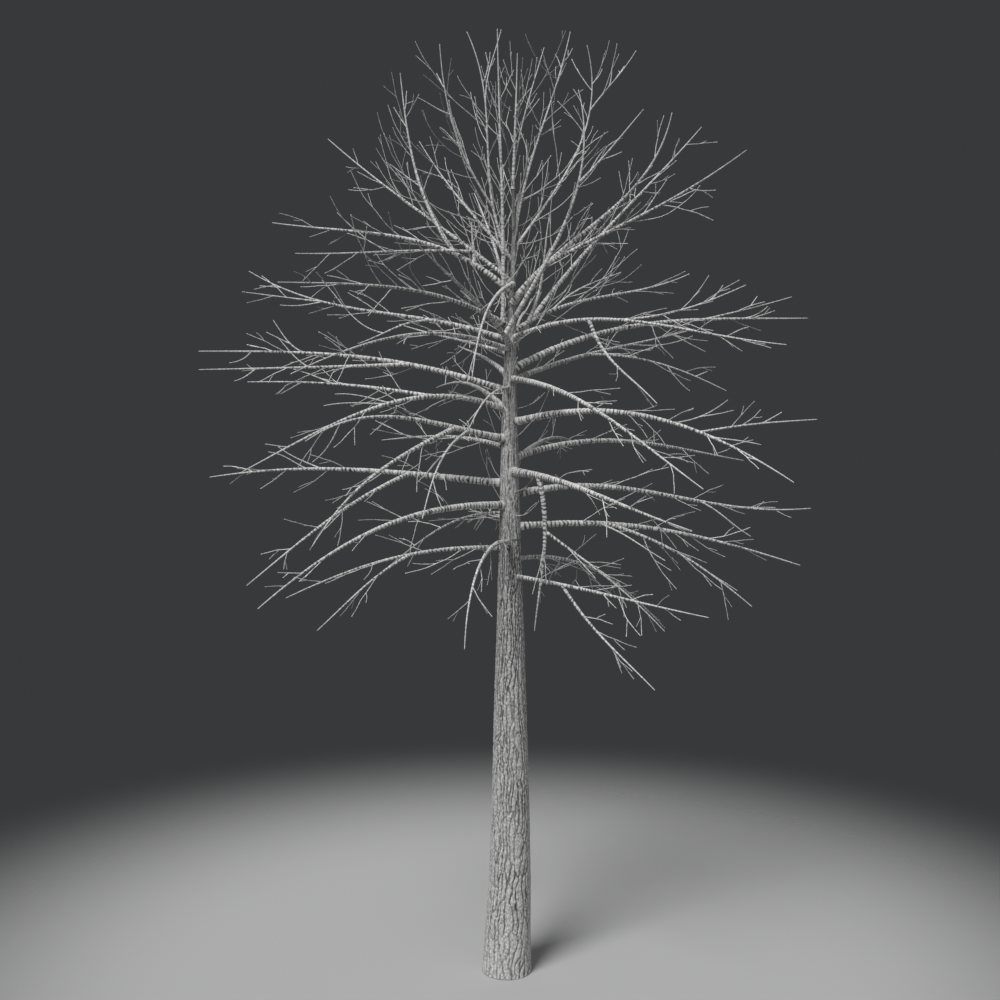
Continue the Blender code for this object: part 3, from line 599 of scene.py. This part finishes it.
def standing_limbs(lines):
    """The trunk and every limb as stretches, to hold the twigs off them."""
    standing = Standing()
    centres = [np.array([station.lean, 0.0, station.height]) for station in TRUNK]
    standing.add("trunk", centres, [station.radius for station in TRUNK])
    for name, line in lines.items():
        count = max(1, round(line.curve.length / STEM_SPAN))
        shares = np.linspace(0.0, 1.0, count + 1)[1 if from_trunk(name, line) else 0:]
        centres = [line.curve.at(share) for share in shares]
        standing.add(name, centres, [limb_radius(line.radius, share) for share in shares])
    return standing


def next_twig(draw, turn, kind):
    """The turn, lean, share of the full length and bend of the next twig."""
    turn += TWIG_TURN + draw.uniform(-kind.stray, kind.stray)
    lean = radians(kind.angle + draw.uniform(*kind.angles))
    size = draw.uniform(*kind.sizes)
    return turn, lean, size, radians(TWIG_BEND * draw.uniform(*TWIG_BENDS))


def twigs_along(label, line, bare, kind, spread=EVEN):
    """The twigs of one kind on a limb: root, knee and tip of each, and its radii."""
    draw = random.Random(f"{SEED} {label}")
    curve = line.curve
    made = []
    longest = min(TWIG_LENGTH, TWIG_OF_LIMB * curve.length)
    distance = bare * curve.length + kind.first
    turn = draw.uniform(0.0, 360.0)
    while True:
        step = kind.step * np.interp(distance / curve.length, (0.0, 1.0), spread)
        distance += step * draw.uniform(*kind.steps)
        turn, lean, size, bend = next_twig(draw, turn, kind)
        if distance > curve.length - kind.last:
            return made
        share = distance / curve.length
        length = max(kind.shortest, longest * size * (1.0 - (1.0 - TWIG_SHORTEST) * share))
        thick = min(kind.radius, kind.girth * limb_radius(line.radius, share))
        root, forward = curve.at(share), curve.direction(share)
        centres = bent_line(root, forward, lean, radians(turn), bend, length)
        made.append((centres, thinning(thick, min(kind.tip, thick))))


def side_twigs(label, centres, radii):
    """Side twigs of one twig, on alternate sides, shorter towards its tip."""
    draw = random.Random(f"{SEED} {label} side")
    kind = SIDE_TWIGS
    root, _, tip = centres
    control = control_of(centres)
    length = length_of(centres)
    made = []
    share = kind.first + draw.uniform(0.0, SIDE_FIRST_STRAY)
    turn = draw.uniform(0.0, 360.0)
    while share < kind.last:
        turn, lean, size, bend = next_twig(draw, turn, kind)
        reach = length * SIDE_LENGTH * size * (SIDE_REACH - share)
        if reach > kind.shortest:
            forward = 2 * (1 - share) * (control - root) + 2 * share * (tip - control)
            forward /= norm(forward)
            point = bow(centres, share)[0]
            thick = min(kind.radius, kind.girth * (radii[0] + (radii[-1] - radii[0]) * share))
            line = bent_line(point, forward, lean, radians(turn), bend, reach)
            made.append((line, thinning(thick, kind.tip)))
        share += kind.step / length * draw.uniform(*kind.steps)
    return made


def shoot(draw, root, forward, lean, roll, length, stem):
    """A long thin twig that leaves along forward and turns upright."""
    near = aside(forward, lean, roll)
    lift = SHOOT_LIFT * draw.uniform(*SHOOT_LIFTS)
    far = near * (1.0 - SHOOT_LIFT) + np.array([0.0, 0.0, lift])
    far /= norm(far)
    knee = root + near * length * 0.5
    thick = min(SHOOT_RADIUS, SHOOT_OF_GIRTH * stem)
    thick = thick * (1.0 - SHOOT_SLIM + SHOOT_SLIM * length / SHOOT_LENGTH[1])
    return [root, knee, knee + far * length * 0.5], thinning(thick, SHOOT_TIP)


def inner_shoots(name, line, first):
    """Shoots of one high limb, over its inner part."""
    draw = random.Random(f"{SEED} {name} shoots")
    curve = line.curve
    made = []
    distance = first * curve.length + SHOOT_FIRST
    while distance < SHOOT_SPAN * curve.length:
        share = distance / curve.length
        lean = radians(draw.uniform(*SHOOT_ANGLE))
        roll = draw.uniform(0.0, 2.0 * pi)
        length = draw.uniform(*SHOOT_LENGTH) * min(1.0, SHOOT_LEAST + curve.length / SHOOT_GAIN)
        stem = limb_radius(line.radius, share)
        twig = shoot(draw, curve.at(share), curve.direction(share), lean, roll, length, stem)
        distance += SHOOT_STEP * draw.uniform(*SHOOT_STEPS)
        if twig[0][1][2] > twig[0][0][2]:
            made.append(twig)
    return made


def leader_shoots():
    """Shoots from the trunk among and above the limbs, each with its side."""
    draw = random.Random(f"{SEED} leader")
    made = []
    height = LEADER_LOW
    heading = 0.0
    while height < LEADER_HIGH:
        high = height >= SHOOT_HEIGHT
        lean, radius = trunk_at(height)
        heading += TWIG_TURN + draw.uniform(-LEADER_TURN_STRAY, LEADER_TURN_STRAY)
        way = radians(heading)
        rise = radians(draw.uniform(*(LEADER_RISE_HIGH if high else LEADER_RISE)))
        east, north = cos(way), sin(way)
        forward = np.array([east * cos(rise), north * cos(rise), sin(rise)])
        root = np.array([lean, 0.0, height]) + LEADER_ROOT * radius * np.array([east, north, 0.0])
        length = draw.uniform(*LEADER_LENGTH)
        side = QUARTERS[int((heading + 45.0) % 360.0 // 90.0)]
        made.append((side, shoot(draw, root, forward, 0.0, 0.0, length, radius)))
        height += LEADER_STEP * draw.uniform(*SHOOT_STEPS) * (1.0 if high else LEADER_WIDER)
    return made


def first_twigs(lines):
    """The first twigs that may stand: side, limb, label, air and shape."""
    for name, line in lines.items():
        bare = max(line.bare, line.foot)
        for number, twig in enumerate(twigs_along(name, line, bare, FIRST_TWIGS)):
            yield line.side, name, f"{name} {number}", FIRST_TWIGS.air, twig


def finer_twigs(lines):
    """The same of the finer twigs and the shoots."""
    starts = {name: line.foot if name == line.limb else FORK_BARE for name, line in lines.items()}
    for name, line in lines.items():
        bare = max(FINE_BARE * line.bare, starts[name])
        spread = FINE_SPREAD if line.curve.points[0][2] < SHOOT_HEIGHT else EVEN
        label = f"{name} fine"
        for number, twig in enumerate(twigs_along(label, line, bare, FINE_TWIGS, spread)):
            yield line.side, name, f"{label} {number}", FINE_TWIGS.air, twig
    rising = []
    for name, line in lines.items():
        if lines[line.limb].curve.points[0][2] >= SHOOT_HEIGHT:
            rising.extend((line.side, name, twig) for twig in inner_shoots(name, line, starts[name]))
    rising.extend((side, "trunk", twig) for side, twig in leader_shoots())
    for number, (side, name, twig) in enumerate(rising):
        yield side, name, f"{name} shoot {number}", SHOOT_CLEAR, twig


def inside(twig):
    """Whether a twig's tip is inside the crown."""
    ends = zip(CAD_BOX[0], twig[0][-1], CAD_BOX[1])
    return all(low + CROWN_INSET <= place <= high - CROWN_INSET for low, place, high in ends)


def grow(lines):
    """All sprays that stand, each with its side, its label and its twigs."""
    standing = standing_limbs(lines)
    sprays = []
    finer = [young for young in finer_twigs(lines) if inside(young[-1])]
    for side, name, label, air, twig in [*first_twigs(lines), *finer]:
        if standing.clear(name, *twig, air):
            standing.add(label, *twig)
            sprays.append((side, label, [twig]))
    for _, label, twigs in sprays:
        for twig in side_twigs(label, *twigs[0]):
            if inside(twig) and standing.air(*twig, skip=label) >= SIDE_TWIGS.air:
                standing.add(label, *twig)
                twigs.append(twig)
    return sprays


def smooth(t):
    """From nought to one, with an even start and end."""
    t = np.clip(t, 0.0, 1.0)
    return t * t * (3.0 - 2.0 * t)


def hashed(a, b, seed):
    """A random share for each pair of whole numbers."""
    mixed = np.sin(a * SCATTER[0] + b * SCATTER[1] + seed * SCATTER[2]) * SCATTER[3]
    return mixed - np.floor(mixed)


def noise(share, along, grain, seed=0):
    """A smooth random share over a stem's skin, joined all round it."""
    u, v = share * grain.cells, along / grain.length
    seed = grain.seed + seed
    a, b = np.floor(u), np.floor(v)
    s, t = smooth(u - a), smooth(v - b)
    a, a1 = a % grain.cells, (a + 1) % grain.cells
    low = hashed(a, b, seed) * (1 - s) + hashed(a1, b, seed) * s
    high = hashed(a, b + 1, seed) * (1 - s) + hashed(a1, b + 1, seed) * s
    return low * (1 - t) + high * t


def swing(share, along, waves, seed=0):
    """The sum of noises either side of nought, each with its size and grain."""
    return sum(size * (noise(share, along, grain, seed) - 0.5) for size, grain in waves)


def graded(pair, share):
    """A pair's first number and so much of its second."""
    return pair[0] + pair[1] * share


def cell_edges(u, v, around, wide, tall, seed):
    """How much nearer the nearest plate's middle is than the next, in metres."""
    a, b = np.floor(u), np.floor(v)
    first = np.full(u.shape, FAR)
    second = np.full(u.shape, FAR)
    for i in (-1, 0, 1):
        for j in (-1, 0, 1):
            ca, cb = a + i, b + j
            wrapped = ca % around
            x = ca + PLATE_ROUND[0] + PLATE_ROUND[1] * hashed(wrapped, cb, seed)
            y = cb + PLATE_ALONG[0] + PLATE_ALONG[1] * hashed(wrapped, cb, seed + 1)
            apart = np.hypot((u - x) * wide, (v - y) * tall)
            second = np.where(apart < first, first, np.minimum(second, apart))
            first = np.minimum(first, apart)
    return second - first


def trunk_edges(share, z, radius, plates):
    """Metres to the nearest furrow between plates that sway as they climb, and
    the share of it that runs round the trunk."""
    u = share * plates.around + swing(share, z, PLATE_SWAYS, plates.seed)
    v = z / plates.tall + swing(share, z, PLATE_SLIPS, plates.seed)
    wide = 2.0 * pi * TRUNK[0].radius / plates.around
    tall = plates.tall * PLATE_LENGTHENED
    edge = cell_edges(u, v, plates.around, wide, tall, plates.seed + PLATE_SEED)
    step = 2.0 * pi * radius[:, None] / share.shape[1]
    slopes = (
        np.abs(np.roll(edge, -1, 1) - np.roll(edge, 1, 1)) / (2.0 * step),
        np.abs(np.gradient(edge, z[:, 0], axis=0)),
    )
    across, along = [np.maximum(x, np.maximum(np.roll(x, 1, 1), np.roll(x, -1, 1))) for x in slopes]
    slope = np.maximum(np.hypot(across, along), PLATE_SLOPE)
    return edge / slope, along / (across + along + SLIGHT)


class Batch:
    """Rings of many stems gathered into one mesh."""

    def __init__(self, name):
        self.name = name
        self.points = []
        self.faces = []
        self.map = []
        self.marks = []
        self.shades = []
        self.count = 0

    def add(self, rings, along, marks=0.0, tip=True, shade=0):
        """Rings as an array (ring, side, xyz); along is each ring's distance."""
        rows, sides = rings.shape[:2]
        base = self.count
        self.points.append(rings.reshape(-1, 3))
        self.marks.append(np.broadcast_to(marks, (rows, sides)).reshape(-1))
        self.count += rows * sides
        i, j = np.meshgrid(np.arange(rows - 1), np.arange(sides), indexing="ij")
        i, j = i.reshape(-1), j.reshape(-1)
        k = (j + 1) % sides
        low, high = i * sides, (i + 1) * sides
        quads = np.stack([low + j, low + k, high + k, high + j], axis=1)
        self.faces.extend((quads + base).tolist())
        u0, u1 = j / sides, (j + 1) / sides
        v0, v1 = along[i], along[i + 1]
        self.map.append(np.stack([u0, v0, u1, v0, u1, v1, u0, v1], axis=1).reshape(-1, 2))
        if tip:
            self.faces.append(list(range(base + (rows - 1) * sides, base + rows * sides)))
            self.map.append(np.stack([np.arange(sides) / sides, np.full(sides, along[-1])], axis=1))
        self.shades.extend([shade] * (len(self.faces) - len(self.shades)))

    def piece(self):
        """The mesh as an object in the scene."""
        mesh = bpy.data.meshes.new(self.name)
        mesh.from_pydata(np.concatenate(self.points).tolist(), [], self.faces)
        layer = mesh.uv_layers.new(name="UVMap")
        layer.data.foreach_set("uv", np.concatenate(self.map).astype(np.float32).reshape(-1))
        mark = mesh.attributes.new("mark", "FLOAT", "POINT")
        mark.data.foreach_set("value", np.concatenate(self.marks).astype(np.float32))
        mesh.polygons.foreach_set("use_smooth", np.ones(len(mesh.polygons), dtype=bool))
        mesh.polygons.foreach_set("material_index", self.shades)
        return placed(self.name, mesh)


def placed(name, data):
    """An object of its own in the scene."""
    item = bpy.data.objects.new(name, data)
    bpy.context.scene.collection.objects.link(item)
    return item


def rings_round(centres, directions, radii, sides):
    """Rings of points round a line, carried along without twisting."""
    across, _ = cross_axes(directions[0])
    angles = 2.0 * pi * np.arange(sides) / sides
    rings = np.empty((len(centres), sides, 3))
    for i, (centre, direction) in enumerate(zip(centres, directions)):
        across = across - direction * np.dot(across, direction)
        across /= norm(across)
        second = np.cross(direction, across)
        ring = np.cos(angles)[:, None] * across + np.sin(angles)[:, None] * second
        rings[i] = centre + np.asarray(radii[i]).reshape(-1, 1) * ring
    return rings


def limb_shares(line):
    """The places of a limb's rings along it, closer where it is thick."""
    thick = (line.radius - THICK_LIMB) / max(line.radius - LIMB_TIP_RADIUS, SLIGHT)
    thick = np.clip(thick, 0.0, 1.0)
    shares = [0.0]
    while shares[-1] < 1.0:
        step = LIMB_RING if shares[-1] < thick else THIN_RING
        shares.append(shares[-1] + step / line.curve.length)
    return np.array(shares[:-1] + [1.0])


def limb_marks(u, v, radius, upright, upper, seed):
    """The marks of a limb's skin: one on its ridges and less down in a furrow, the furrows fainter on
    top so that their darkness is painted shade on the underside.
    """
    band = v / LIMB_BAND + swing(u, v, BAND_WANDER, seed)
    number = np.floor(band)
    place = hashed(number, float(seed), BAND_PLACE_SEED)
    middle = number + BAND_PLACE[0] + BAND_PLACE[1] * place
    half = LIMB_FURROW_HALF * graded(HALF_WIDTH, noise(u, v, HALF_GRAIN, seed))
    cut = 1.0 - smooth((np.abs(band - middle) * LIMB_BAND - LIMB_FURROW_FLAT * half) / half)
    deep = graded(DEEP, noise(u, v, DEEP_GRAIN, seed))
    deep = deep * graded(DEEP_BANDS, hashed(number, float(seed), DEEP_SEED))
    deep = deep * graded(DEEP_GIRTH, smooth((radius - THIN_WOOD) / WOOD_SPAN))
    deep = deep * (1.0 - UPRIGHT_FADE * smooth((upright - UPRIGHT_FROM) / UPRIGHT_SPAN))
    # Fainter furrows on top leave the dark marks, partly painted shade, on the underside.
    deep = deep * (1.0 - TOP_FADE_FOR_UNDERSIDE_SHADE * smooth(graded(TOP_SPAN_FOR_UNDERSIDE_SHADE, upper)))
    return 1.0 - cut * np.clip(deep, 0.0, 1.0)


def limb_rings(name, line, seed):
    """A limb from root to tip, with its furrows, swollen foot and budded end."""
    curve = line.curve
    shares = limb_shares(line)
    sides = next(points for radius, points in LIMB_SIDES if line.radius > radius)
    centres = [curve.at(share) for share in shares]
    directions = [curve.direction(share) for share in shares]
    along = shares * curve.length
    u, v = np.meshgrid(np.arange(sides) / sides, along)
    radius = limb_radius(line.radius, shares)[:, None]
    unit = rings_round(centres, directions, np.ones(len(centres)), sides)
    upper = unit[:, :, 2] - np.array(centres)[:, None, 2]
    upright = np.array(directions)[:, 2][:, None]
    mark = limb_marks(u, v, radius, upright, upper, seed)
    swell = 1.0 + swing(u, v, LIMB_LUMPS, seed) + LIMB_FURROW * (mark - mark.mean())
    collar, foot = FORK_COLLAR, 0.0
    if from_trunk(name, line):
        collar, foot = COLLAR, line.foot * curve.length
    swell = swell * (1.0 + collar[0] * np.exp(-np.maximum(v - foot, 0.0) / collar[1]))
    end = np.clip((curve.length - v) / BUD_LENGTH, 0.0, 1.0)
    budded = 1.0 + (BUD_SWELL - 1.0) * np.sin(pi * end) - LIMB_POINT * (1 - end)
    swell = swell * np.where(end < 1.0, budded, 1.0)
    return rings_round(centres, directions, radius * swell, sides), along, mark


def control_of(centres):
    """The middle control point of the bow through a twig's root, knee and tip."""
    root, knee, tip = centres
    return 2.0 * knee - 0.5 * (root + tip)


def length_of(centres):
    """The length of a twig from its root by its knee to its tip."""
    root, knee, tip = centres
    return norm(knee - root) + norm(tip - knee)


def bow(centres, share):
    """Points of a twig's wavering bow through its root, knee and tip."""
    root, _, tip = centres
    w = np.atleast_1d(share)[:, None]
    points = (1 - w) ** 2 * root + 2 * (1 - w) * w * control_of(centres) + w ** 2 * tip
    length = norm(tip - root)
    side, up = cross_axes((tip - root) / length)
    phase = WAVE_STARTS * hashed(root[0] * WAVE_PLACES, root[1] * WAVE_PLACES, WAVE_SEED)
    waver = TWIG_WAVER * length * np.sin(pi * w)
    points = points + waver * np.sin(WAVES[0] * w + phase) * side
    return points + WAVER_UP * waver * np.sin(WAVES[1] * w + 2.0 * phase) * up


def twig_rings(centres, radii):
    """A twig with an end bud, as rings along its bow."""
    if max(radii) > SLIM_FROM:
        radii = [TWIG_SLIM * radius for radius in radii]
    length = length_of(centres)
    spans = max(FEWEST_SPANS, int(length / TWIG_RING))
    stem = np.linspace(0.0, 1.0 - BUD_LENGTH / length, spans + 1)
    t = np.concatenate([stem, [1.0 - BUD_SHOULDER * BUD_LENGTH / length, 1.0]])
    points = bow(centres, t)
    slopes = np.gradient(points, t, axis=0)
    slopes /= norm(slopes, axis=1)[:, None]
    thick = radii[0] + (radii[-1] - radii[0]) * t
    thick[-2] *= BUD_SWELL
    thick[-1] *= BUD_POINT
    return rings_round(points, slopes, thick, TWIG_SIDES), t * length


def bark_rings(low, high, step, columns):
    """One length of the trunk's skin: its rings, their heights and its marks."""
    heights = np.append(np.arange(low, high - 0.5 * step, step), high)
    angles = 2.0 * pi * np.arange(columns) / columns
    lean = np.array([trunk_at(z)[0] for z in heights])
    spans = np.linspace(-TAPER_ROUNDED, TAPER_ROUNDED, TAPER_PLACES)
    radius = np.array([np.mean([trunk_at(z + span)[1] for span in spans]) for z in heights])
    a, z = np.meshgrid(angles, heights)
    share = a / (2.0 * pi)
    size = np.sqrt(radius / TRUNK[0].radius)[:, None]
    change = graded(STRENGTH_CHANGE, noise(share, z, STRENGTH_GRAIN))
    strength = graded(STRENGTH, smooth(change))
    mark = np.ones(z.shape)
    depth = np.zeros(z.shape)
    for number, plates in enumerate(PLATES):
        kept = smooth((radius - plates.thinnest) / PLATE_FADE)
        kept = kept * smooth((plates.thickest - radius) / PLATE_FADE)
        edge, level = trunk_edges(share, z, radius, plates)
        edge = edge + JAGGED * swing(share, z, JAGS, number) - FURROW_FLAT * plates.half
        bottom = 1.0 - smooth(edge / plates.half)
        bottom = bottom * (1.0 - (1.0 - CROSS_FURROW) * smooth(graded(CROSS_LEVEL, level)))
        bottom = bottom * strength * kept[:, None]
        depth = depth - plates.depth * size * bottom
        # The furrow darkens the mark: darker bark in part, painted shade in the furrow in part.
        mark = mark * (1.0 - bottom * plates.dark)
    depth = depth + RIDGE_ROUGHNESS * size * swing(share, z, RIDGES)
    outer = radius[:, None] + depth - SKIN_INSET
    x = lean[:, None] + outer * np.cos(a)
    return np.stack([x, outer * np.sin(a), z], axis=2), heights, mark


def trunk_piece():
    """The trunk's skin with its furrowed plates, on the flat cut at the ground."""
    batch = Batch("bark_trunk")
    for number, skin in enumerate(TRUNK_SKINS):
        rings, heights, mark = bark_rings(*skin)
        batch.add(rings, heights, marks=mark, tip=number == 1)
        if number == 0:
            foot = rings[0, ::-1, :2]
    batch.faces.append(list(range(len(foot) - 1, -1, -1)))
    batch.map.append(foot)
    batch.shades.append(1)
    item = batch.piece()
    item.data.polygons[-1].use_smooth = False
    return item


def build_tree():
    """The trunk, and the limbs and the twigs of each side of the crown."""
    lines = lines_of_limbs()
    sprays = grow(lines)
    trunk = trunk_piece()
    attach(trunk, "root")
    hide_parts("trunk")
    nodes = list(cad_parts)
    limbs, twigs = [], []
    batches = {kind + side: Batch(kind + side) for kind in ("limbs_", "twigs_") for side in SIDES}
    for number, (name, line) in enumerate(lines.items()):
        rings, along, mark = limb_rings(name, line, number)
        batches["limbs_" + line.side].add(rings, along, marks=mark)
    deal = random.Random(SEED)
    for side, _, spray in sprays:
        shade = deal.choice(range(len(TWIG_SHADES)))
        for centres, radii in spray:
            batches["twigs_" + side].add(*twig_rings(centres, radii), shade=shade)
    for side in SIDES:
        limb = batches["limbs_" + side].piece()
        twig = batches["twigs_" + side].piece()
        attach(limb, "root")
        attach(twig, "root")
        boughs = [n for n in nodes if n.startswith("bough_" + side)]
        masses = [n for n in nodes if n.startswith("twigs_" + side)]
        if boughs:
            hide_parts(*boughs)
        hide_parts(*masses)
        limbs.append(limb)
        twigs.append(twig)
    return trunk, limbs, twigs


def new_material(name):
    """A material and its surface shader."""
    material = bpy.data.materials.new(name)
    material.use_nodes = True
    return material, material.node_tree.nodes["Principled BSDF"]


def set_values(node, **values):
    """Sets sockets of a node; a name's underscores stand for spaces."""
    for name, value in values.items():
        node.inputs[name.replace("_", " ")].default_value = value
    return node


def add_node(material, kind, **settings):
    """A new shader node of a material, with its settings."""
    node = material.node_tree.nodes.new("ShaderNode" + kind)
    for name, value in settings.items():
        setattr(node, name, value)
    return node


def join(source, output, target, socket):
    """Links an output of one node to a socket of another."""
    source.id_data.links.new(source.outputs[output], target.inputs[socket])


def ramp(material, stops):
    """A colour ramp from its places and colours."""
    node = add_node(material, "ValToRGB")
    elements = node.color_ramp.elements
    while len(elements) < len(stops):
        elements.new(0.5)
    for element, (place, colour) in zip(elements, stops):
        element.position = place
        element.color = (*colour, 1.0)
    return node


def greys(stops, shade=1.0):
    """The colours of a ramp of greys, as light as the shade and a little warm."""
    lit = [(place, shade * value, warm) for place, value, warm in stops]
    return [(place, (g * (1 + warm), g, g * (1 - warm))) for place, g, warm in lit]


def bark_material(name, bark, shade=1.0):
    """Flecked bark, darker where its rings sink into a furrow: darker bark in part, painted shade in
    part.
    """
    material, surface = new_material(name)
    place = add_node(material, "TexCoord")
    stretch = set_values(add_node(material, "Mapping"), Scale=(1.0, 1.0, bark.tall))
    join(place, "Object", stretch, "Vector")
    fleck = add_node(material, "TexNoise")
    set_values(fleck, Scale=bark.scale, Detail=bark.detail, Roughness=bark.rough)
    join(stretch, "Vector", fleck, "Vector")
    colours = ramp(material, greys(bark.colours, shade))
    join(fleck, "Fac", colours, "Fac")
    if bark.furrow:
        # A furrow's mark darkens the colour: partly darker bark, partly painted shade in the furrow.
        mark = add_node(material, "Attribute", attribute_name="mark")
        edge = ramp(material, greys(bark.furrow))
        join(mark, "Fac", edge, "Fac")
        mix = add_node(material, "Mix", data_type="RGBA", blend_type="MULTIPLY")
        set_values(mix, Factor=1.0)
        join(colours, "Color", mix, COLOUR_A)
        join(edge, "Color", mix, COLOUR_B)
        join(mix, COLOUR_OUT, surface, "Base Color")
    else:
        join(colours, "Color", surface, "Base Color")
    bump = set_values(add_node(material, "Bump"), Strength=bark.bump, Distance=bark.height)
    join(fleck, "Fac", bump, "Height")
    join(bump, "Normal", surface, "Normal")
    set_values(surface, Roughness=bark.dull, Specular_IOR_Level=bark.gloss)
    return material


def cut_material():
    """The sawn wood under the trunk, with its growth rings."""
    material, surface = new_material("cut_wood")
    place = add_node(material, "TexCoord")
    rings = add_node(material, "TexWave", wave_type="RINGS", rings_direction="Z")
    set_values(rings, Scale=CUT_RINGS, Distortion=CUT_WANDER)
    join(place, "Object", rings, "Vector")
    shade = ramp(material, CUT_COLOURS)
    join(rings, "Fac", shade, "Fac")
    join(shade, "Color", surface, "Base Color")
    set_values(surface, Roughness=CUT_DULL)
    return material


def floor_piece():
    """A round floor that thins out to nothing at its edge."""
    mesh = bpy.data.meshes.new("floor")
    turns = [2 * pi * i / FLOOR_POINTS for i in range(FLOOR_POINTS)]
    ring = [(FLOOR_SIZE * cos(turn), FLOOR_SIZE * sin(turn), 0.0) for turn in turns]
    mesh.from_pydata(ring, [], [list(range(FLOOR_POINTS))])
    item = placed("floor", mesh)
    material, surface = new_material("floor")
    place = add_node(material, "TexCoord")
    reach = add_node(material, "VectorMath", operation="LENGTH")
    join(place, "Object", reach, 0)
    span = add_node(material, "MapRange", interpolation_type="SMOOTHERSTEP")
    set_values(span, From_Min=FLOOR_FADE[0], From_Max=FLOOR_FADE[1], To_Min=1.0, To_Max=0.0)
    join(reach, "Value", span, "Value")
    join(span, "Result", surface, "Alpha")
    grey = (FLOOR_GREY, FLOOR_GREY, FLOOR_GREY, 1.0)
    set_values(surface, Base_Color=grey, Roughness=1.0, Specular_IOR_Level=0.0)
    mesh.materials.append(material)


def stage():
    """The floor, the soft studio light and the camera."""
    scene = bpy.context.scene
    world = bpy.data.worlds.new("studio")
    world.use_nodes = True
    set_values(world.node_tree.nodes["Background"], Color=(*STUDIO, 1.0), Strength=1.0)
    scene.world = world
    for sun in SUNS:
        light = bpy.data.lights.new(sun.name, "SUN")
        light.energy = sun.energy
        light.angle = radians(sun.spread)
        item = placed(sun.name, light)
        item.rotation_euler = (0.0, radians(90.0 - sun.height), radians(sun.azimuth))
    floor_piece()
    camera = bpy.data.cameras.new("camera")
    camera.lens = CAMERA_LENS
    camera.sensor_width = CAMERA_SENSOR
    camera.clip_end = CAMERA_REACH
    item = placed("camera", camera)
    item.location = CAMERA_PLACE
    item.rotation_euler = (radians(90.0 - CAMERA_TILT), 0.0, 0.0)
    scene.camera = item
    scene.view_settings.view_transform = "Standard"
    scene.view_settings.look = "None"


trunk, limbs, twigs = build_tree()
trunk_looks = [bark_material("bark_trunk", TRUNK_BARK), cut_material()]
limb_looks = [bark_material("bark_limb", LIMB_BARK)]
twig_looks = [
    bark_material(f"bark_twig_{number}", TWIG_BARK, shade)
    for number, shade in enumerate(TWIG_SHADES, start=1)
]
for pieces, looks in (([trunk], trunk_looks), (limbs, limb_looks), (twigs, twig_looks)):
    for piece in pieces:
        for look in looks:
            piece.data.materials.append(look)
stage()
